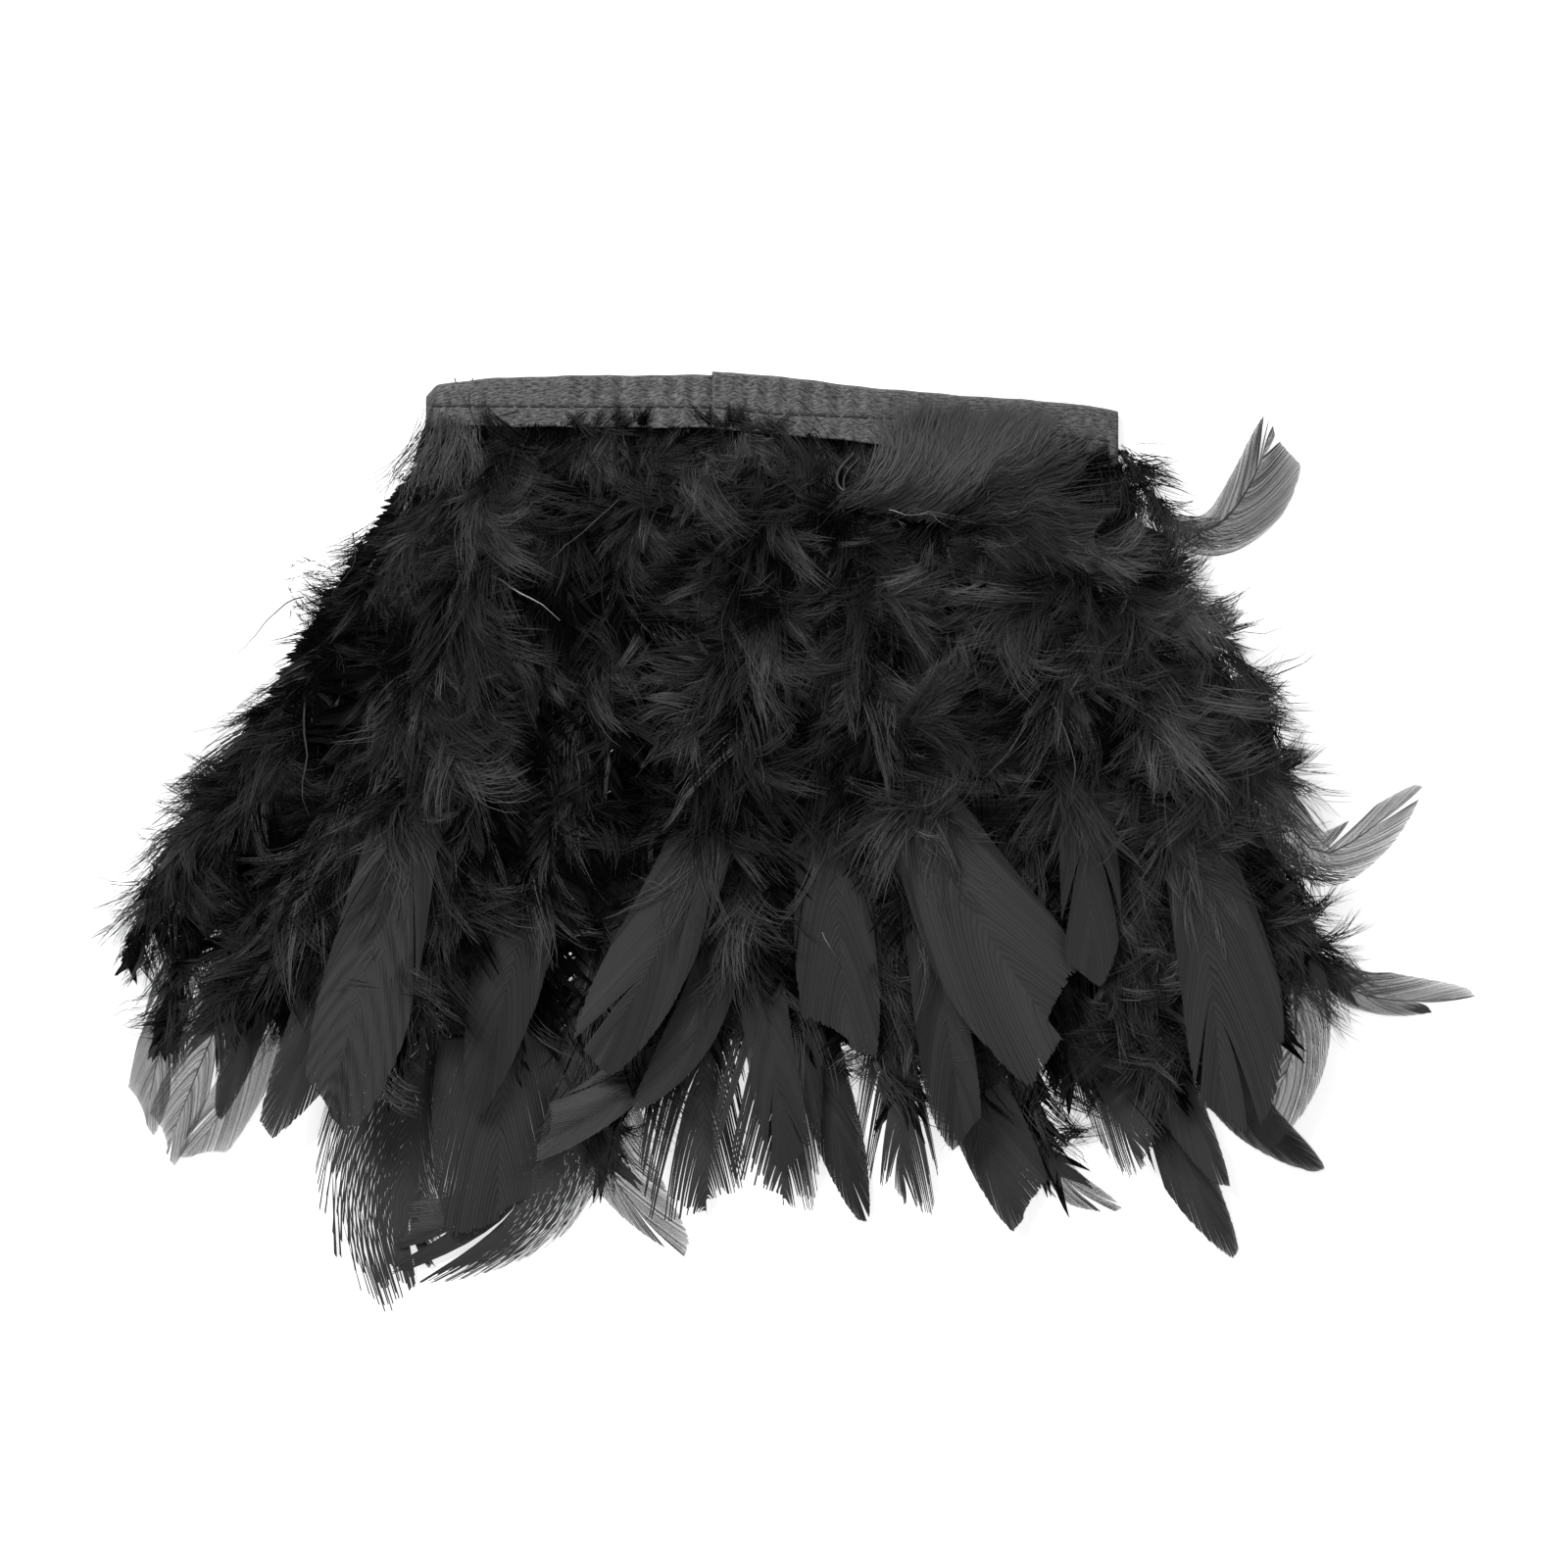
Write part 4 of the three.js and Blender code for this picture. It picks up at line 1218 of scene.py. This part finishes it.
def swept_cores(rng, look, steps=8):
    """Long soft barbs combed one way: they leave a line at random places and turn as they go.

    Barb w of the way along the line starts at heading a + (b - a) w and turns by c + (d - c) w over its
    length. It rises at once to its cover height and then follows it.
    """
    count = look["count"]
    w = rng.random(count)
    t = np.linspace(0, 1, steps)[None]
    begin, end = (np.array(point, float) for point in look["line"])
    start = begin + w[:, None] * (end - begin) + rng.normal(0, look["scatter"], (count, 2))
    gather = np.interp(w, np.linspace(0, 1, 22), rng.normal(0, look.get("gather", 0), 22))
    first = np.interp(w, [0, 1], look["heading"]) + gather + rng.normal(0, look["heading_noise"], count)
    turn = np.interp(w, [0, 1], look["turn"]) + rng.normal(0, look["turn_noise"], count)
    length = np.interp(w, [0, 1], look["length"]) * rng.uniform(0.55, 1.1, count)
    heading = np.radians(first[:, None] + turn[:, None] * t)
    step = np.stack([np.cos(heading), np.sin(heading)], -1) * (length / (steps - 1))[:, None, None]
    step[:, 0] = 0
    plan = start[:, None] + np.cumsum(step, 1)
    swirl = tousle(plan * 1.6)
    plan = plan + swirl[..., :2] * (t * look["tousle"])[..., None]
    over_tape = np.clip((plan[..., 1] - line_at(MOUTH, plan[..., 0]) + 6) / 6, 0, 1)
    ground = np.interp(over_tape, [0, 1], look["cover"])
    arch = rng.uniform(0, look["loft"], count)[:, None] * (0.25 + t - 0.6 * t**2)
    z = ground + arch + swirl[..., 2] * t * 0.5
    rise = plan[:, -1, 1] - start[:, 1]
    room = line_at(RIGHT_FOLD, plan[:, -1, 0]) - rng.uniform(0.2, 4, count) - start[:, 1]
    short = np.clip(room / np.maximum(rise, 0.1), 0.1, 1)[:, None, None]
    plan = start[:, None] + (plan - start[:, None]) * short
    tone = look["tone"] + rng.normal(0, 0.1, count) + 0.15 * tousle(plan[:, 3] * 2.5)[:, 0]
    return np.concatenate([plan, z[..., None]], -1), np.clip(tone, 0, 1)


def make_back_swept_plume(settings, rng):
    """The feather bent back on itself: a bare quill along the fringe, its long barbs combed over the tape."""
    quill = smooth_line(PLUME_QUILL)
    shafts = [
        tube(quill, np.linspace(0.36, 0.16, len(quill)), 6),
        tube(quill + np.array([1.2, -0.75, 0.1]), np.linspace(0.26, 0.12, len(quill)), 6),
    ]
    parts = [part(points, quads, 2, 0.8) for points, quads in shafts]
    common = {"strand": settings.strand_width / MM, "cover": (8.0, 4.2), "heading_noise": 6, "turn_noise": 11}
    for fan in PLUME_FANS:
        look = {**common, **fan, "count": settings.plume_strands // fan["share"]}
        cores, tone = swept_cores(rng, look)
        # Painted shade and light: the plume's barbs are darker at their roots and much lighter at their tips.
        parts.append(plain_strands(cores, tone - 0.3, look, rng, painted_shade_fade=0.85))
    materials = [vane_material(settings), down_material(settings), quill_material(settings)]
    piece = make_piece("back_swept_plume_down", parts, materials)
    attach(piece, "back_swept_plume")
    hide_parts("back_swept_plume")
    return piece


def collar_ground(plan, run):
    """Height under the collar's down: the quills at the mouth, the heap past them, and the tape's own top."""
    tape_top = np.where(plan[..., 0] < RIGHT_FOLD[0, 0], 2.95, 3.5)
    over = np.clip((plan[..., 1] - line_at(MOUTH, plan[..., 0])) / 0.8 + 0.5, 0, 1)
    heap = np.maximum(2.0, sheet_height(26, out_of(plan)))
    return heap + (tape_top - heap) * over


def make_tape_collar(settings, rng):
    """Stray hairs on the tape, and the collar of down between its open edge and the feathers."""
    parts = []
    for hair in STRAY_HAIRS:
        path = smooth_line(hair)
        points, quads = tube(path, np.linspace(0.13, 0.05, len(path)), 6)
        parts.append(part(points, quads, 2, 0.9))
    look = {"strand": settings.strand_width / MM * 1.15, "tuft_spread": 0.7, "down_tone": 0.32}
    for low, high, inner, outer, heading, noise, divisor, rise, size in COLLAR_BANDS:
        count = settings.collar_tufts // divisor
        x = rng.uniform(low, high, count)
        y = line_at(MOUTH, x) + rng.uniform(outer, inner, count)
        x = x + (y - line_at(MOUTH, x)) * -FAN_LEAN * x * 1.4
        aim = np.radians(rng.normal(heading, noise, count) + x * 0.4 * (heading < 0))
        root, bend = np.stack([x, y], -1), rng.normal(0, 0.3, count)
        look["coat_length"] = size
        parts.append(tuft_strands(look, rng, root, aim, np.full(count, rise), bend, collar_ground))
    # A near-black underlay of flat strips below the open edge: painted shade under the tape's lip and the
    # quills.
    rows, steps = 150, 6
    x = np.linspace(-62.5, 63, rows)
    y = line_at(MOUTH, x)[:, None] + np.linspace(1.6, -6.5, steps)
    fanned = x[:, None] - (np.linspace(0, 5, steps) * -FAN_LEAN * x[:, None])
    under = np.stack([fanned, y, np.full((rows, steps), 1.15)], -1)
    points, quads = strips(under - [0.55, 0, 0], under + [0.55, 0, 0])
    parts.append(strand_part(points, quads, np.full((rows, steps, 1), 0.02), steps))
    cores, tone = swept_cores(rng, WISP)
    parts.append(plain_strands(cores, tone, WISP, rng))
    materials = [vane_material(settings), down_material(settings), quill_material(settings)]
    piece = make_piece("tape_collar_down", parts, materials)
    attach(piece, "tape")
    return piece


# ---------------------------------------------------------------- stage


def make_stage(settings):
    """A pale floor under the trim, a soft key light behind it, a broad fill, and white light all round."""
    scene = bpy.context.scene
    floor_mesh = bpy.data.meshes.new("floor")
    corners = [(x * FLOOR_REACH, y * FLOOR_REACH, 0) for x, y in ((-1, -1), (1, -1), (1, 1), (-1, 1))]
    floor_mesh.from_pydata(corners, [], [(0, 1, 2, 3)])
    floor = bpy.data.objects.new("floor", floor_mesh)
    scene.collection.objects.link(floor)
    material, nodes, links, shader = start_material("paper_floor", roughness=0.9, specular_ior_level=0.1)
    shader.inputs["Base Color"].default_value = (0.9, 0.9, 0.9, 1)
    shader.inputs["Emission Color"].default_value = (1, 1, 1, 1)
    shader.inputs["Emission Strength"].default_value = settings.floor_glow
    grain = nodes.new("ShaderNodeTexNoise")
    grain.inputs["Scale"].default_value = 300
    place = nodes.new("ShaderNodeTexCoord")
    links.new(place.outputs["Object"], grain.inputs["Vector"])
    add_bump(nodes, links, shader, grain.outputs["Fac"], 0.05, 0.0001)
    floor_mesh.materials.append(material)

    world = bpy.data.worlds.new("soft_surround")
    world.use_nodes = True
    world.node_tree.nodes["Background"].inputs["Color"].default_value = (1, 1, 1, 1)
    world.node_tree.nodes["Background"].inputs["Strength"].default_value = settings.surround
    scene.world = world

    for name, power, size, place in (
        ("key_light", settings.key_power, 0.5, (-0.55, 0.6, 1.0)),
        ("fill_light", settings.key_power * 0.2, 1.2, (0.7, -0.5, 1.0)),
    ):
        light = bpy.data.lights.new(name, "AREA")
        light.energy, light.size = power, size
        lamp = bpy.data.objects.new(name, light)
        lamp.location = place
        aim = mathutils.Vector((0, VIEW_CENTRE[1] * MM, 0)) - lamp.location
        lamp.rotation_euler = aim.to_track_quat("-Z", "Y").to_euler()
        scene.collection.objects.link(lamp)
    scene.view_settings.view_transform = "Standard"


def make_camera():
    """The camera looks straight down, square to the table, the tape at the top of its picture."""
    camera = bpy.data.cameras.new("camera")
    camera.lens = 120
    camera.sensor_width = 36
    camera.clip_end = 10
    holder = bpy.data.objects.new("camera", camera)
    distance = VIEW_WIDTH * MM * camera.lens / camera.sensor_width
    holder.location = (VIEW_CENTRE[0] * MM, VIEW_CENTRE[1] * MM, distance)
    bpy.context.scene.collection.objects.link(holder)
    bpy.context.scene.camera = holder


# ---------------------------------------------------------------- add-on


def colour(name, description, default):
    """A colour property."""
    return bpy.props.FloatVectorProperty(
        name=name, description=description, subtype="COLOR", size=3, min=0, max=1, default=default
    )


def count(name, description, default):
    """A property that counts things."""
    return bpy.props.IntProperty(name=name, description=description, default=default, min=1)


def length(name, description, default):
    """A length property in metres."""
    return bpy.props.FloatProperty(
        name=name, description=description, default=default, min=0, unit="LENGTH", precision=5
    )


def strength(name, description, default):
    """A plain number property."""
    return bpy.props.FloatProperty(name=name, description=description, default=default, min=0)


class FringeSettings(bpy.types.PropertyGroup):
    """Sizes, densities and colours of the trim."""

    ribbon_wall: length("Ribbon wall", "Thickness of the ribbon's cloth", 0.0003)
    stitch_length: length("Stitch length", "Length of one lockstitch", 0.0026)
    strand_width: length("Strand width", "Width of one strand of down", 0.00017)
    barbs: count("Barbs", "Barbs on each side of a blade", 150)
    lower_tufts: count("Lower down", "Tufts of down on each feather of the lower layer", 140)
    middle_tufts: count("Middle down", "Tufts of down on each feather of the middle layer", 185)
    upper_tufts: count("Upper down", "Tufts of down on each feather of the upper layer", 430)
    blade_tufts: count("Blade down", "Tufts of down on each long top feather", 430)
    collar_tufts: count("Collar down", "Tufts of down in each row along the tape's open edge", 520)
    plume_strands: count("Plume strands", "Barbs in the main fan of the back-swept plume", 3000)
    seed: count("Seed", "Picks one arrangement of every strand", 7)
    # The down's tone mixes random tone with painted shade at the roots and painted light at the tips, so
    # these three colours span both.
    down_dark: colour("Down, dark", "Down at its roots", (0.002, 0.002, 0.0021))
    down_light: colour("Down, light", "Down at its tips", (0.05, 0.05, 0.0505))
    down_bright: colour("Down, bright", "The lightest, thinnest down", (0.14, 0.14, 0.141))
    vane_dark: colour("Blade, dark", "Blades between their barb lines", (0.009, 0.009, 0.0091))
    vane_light: colour("Blade, light", "Blades on their barb lines", (0.05, 0.05, 0.0505))
    ribbon_dark: colour("Ribbon, dark", "Ground of the ribbon's weave", (0.01, 0.01, 0.0102))
    # Painted highlight: the ribbon's weft glints are painted into its base colour.
    ribbon_painted_glint: colour("Ribbon, light", "Glints of the ribbon's weft", (0.19, 0.19, 0.192))
    quill_dark: colour("Quill, dark", "Dark streaks of the quills", (0.012, 0.012, 0.0118))
    quill_light: colour("Quill, light", "Light streaks of the quills", (0.09, 0.089, 0.086))
    # Painted shade and light of the thread's twist: dark in its hollows, light on its ridges.
    thread_painted_shade: colour("Thread, dark", "Thread in the hollows of its twist", (0.004, 0.004, 0.004))
    thread_painted_highlight: colour("Thread, light", "Thread on the ridges of its twist", (0.02, 0.02, 0.02))
    surround: strength("Surround", "Strength of the light all round", 0.2)
    floor_glow: strength("Floor glow", "Light that the floor gives off", 0.7)
    key_power: strength("Key light", "Power of the main light in watts", 14)


class FringeOperator(bpy.types.Operator):
    """What the trim's operators share."""

    bl_options = {"REGISTER", "UNDO"}

    def random(self, context, number):
        """A random generator of its own for each numbered piece, so their order doesn't matter."""
        return np.random.default_rng([context.scene.fringe.seed, number])


class FRINGE_OT_ribbons(FringeOperator):
    """Make the two folded ribbons"""

    bl_idname = "fringe.ribbons"
    bl_label = "Ribbons"

    def execute(self, context):
        settings = context.scene.fringe
        ribbon_piece(settings, "ribbon_left", LEFT_FOLD, -40, -3)
        ribbon_piece(settings, "ribbon_right", RIGHT_FOLD, -9, 20)
        return {"FINISHED"}


class FRINGE_OT_stitching(FringeOperator):
    """Make the needle and bobbin stitches along the tape"""

    bl_idname = "fringe.stitching"
    bl_label = "Stitching"

    def execute(self, context):
        stitch_row(context.scene.fringe, "needle_thread", 1)
        stitch_row(context.scene.fringe, "bobbin_thread", -1)
        return {"FINISHED"}


class FRINGE_OT_quill_butts(FringeOperator):
    """Make the bare quill ends and the glued bar inside the tape"""

    bl_idname = "fringe.quill_butts"
    bl_label = "Quill butts"

    def execute(self, context):
        quill_row(context.scene.fringe)
        return {"FINISHED"}


class FRINGE_OT_layers(FringeOperator):
    """Make the three layers of twelve feathers"""

    bl_idname = "fringe.layers"
    bl_label = "Feather layers"

    def execute(self, context):
        settings = context.scene.fringe
        for layer, (name, (first_sheet, feathers)) in enumerate(LAYERS.items()):
            for i, (x, y, width, share, slant, kind) in enumerate(feathers):
                rng = self.random(context, 100 * layer + i)
                sheet = first_sheet + i * SHEET_STRIDE % len(feathers)
                node = f"{name}_feather_{i + 1:02d}"
                feather = fringe_feather(node, f"{name}_fringe", i * len(LAYERS) + layer, sheet, (x, y))
                tufts = getattr(settings, f"{name}_tufts")
                downy = LAYER_DOWN[name]
                look = feather_look(settings, feather, width, share, slant, kind, tufts, downy, rng)
                if i in OUTERMOST:
                    look.update({**OUTER_LOOK, "sides": OUTERMOST[i], "coat": int(1.25 * tufts)})
                elif kind != "comb":
                    look.update(INNER_LOOK)
                make_feather(settings, feather, look, rng, node)
        return {"FINISHED"}


class FRINGE_OT_blades(FringeOperator):
    """Make the five long blades that lie on top"""

    bl_idname = "fringe.blades"
    bl_label = "Top blades"

    def execute(self, context):
        settings = context.scene.fringe
        for number, (name, (slot, sheet, shape)) in enumerate(BLADES.items()):
            x, y, width, share, slant, kind = shape
            rng = self.random(context, 400 + number)
            feather = fringe_feather(name, name, slot, sheet, (x, y))
            tufts = settings.blade_tufts
            look = feather_look(settings, feather, width, share, slant, kind, tufts, BLADE_DOWN, rng)
            make_feather(settings, feather, look, rng, name)
        return {"FINISHED"}


class FRINGE_OT_loose(FringeOperator):
    """Make the back-swept plume, the feather at the tape's end and the wisps on the tape"""

    bl_idname = "fringe.loose"
    bl_label = "Loose plumage"

    def execute(self, context):
        settings = context.scene.fringe
        make_back_swept_plume(settings, self.random(context, 500))
        rng = self.random(context, 501)
        feather = loose_feather("end_feather", END_FEATHER)
        look = feather_look(settings, feather, 12, 0.6, 4, "sheer", settings.lower_tufts // 6, 0.3, rng)
        look.update(END_LOOK)
        make_feather(settings, feather, look, rng, "end_feather")
        make_tape_collar(settings, self.random(context, 502))
        return {"FINISHED"}


class FRINGE_OT_stage(FringeOperator):
    """Make the floor, the lights and the surround"""

    bl_idname = "fringe.stage"
    bl_label = "Stage"

    def execute(self, context):
        make_stage(context.scene.fringe)
        return {"FINISHED"}


class FRINGE_OT_camera(FringeOperator):
    """Make the camera over the trim"""

    bl_idname = "fringe.camera"
    bl_label = "Camera"

    def execute(self, context):
        make_camera()
        return {"FINISHED"}


STEPS = (
    FRINGE_OT_camera,
    FRINGE_OT_ribbons,
    FRINGE_OT_quill_butts,
    FRINGE_OT_stitching,
    FRINGE_OT_layers,
    FRINGE_OT_blades,
    FRINGE_OT_loose,
    FRINGE_OT_stage,
)


class FRINGE_PT_panel(bpy.types.Panel):
    """Sidebar panel with the trim's sizes and one button for each step"""

    bl_idname = "FRINGE_PT_panel"
    bl_label = "Feather fringe trim"
    bl_space_type = "VIEW_3D"
    bl_region_type = "UI"
    bl_category = "Fringe"

    def draw(self, context):
        settings = context.scene.fringe
        for name in FringeSettings.__annotations__:
            self.layout.prop(settings, name)
        for step in STEPS:
            self.layout.operator(step.bl_idname)


CLASSES = (FringeSettings, *STEPS, FRINGE_PT_panel)


def register():
    for one in CLASSES:
        bpy.utils.register_class(one)
    bpy.types.Scene.fringe = bpy.props.PointerProperty(type=FringeSettings)


def unregister():
    del bpy.types.Scene.fringe
    for one in reversed(CLASSES):
        bpy.utils.unregister_class(one)


def main():
    register()
    for step in STEPS:
        group, name = step.bl_idname.split(".")
        getattr(getattr(bpy.ops, group), name)()


if __name__ == "__main__":
    main()
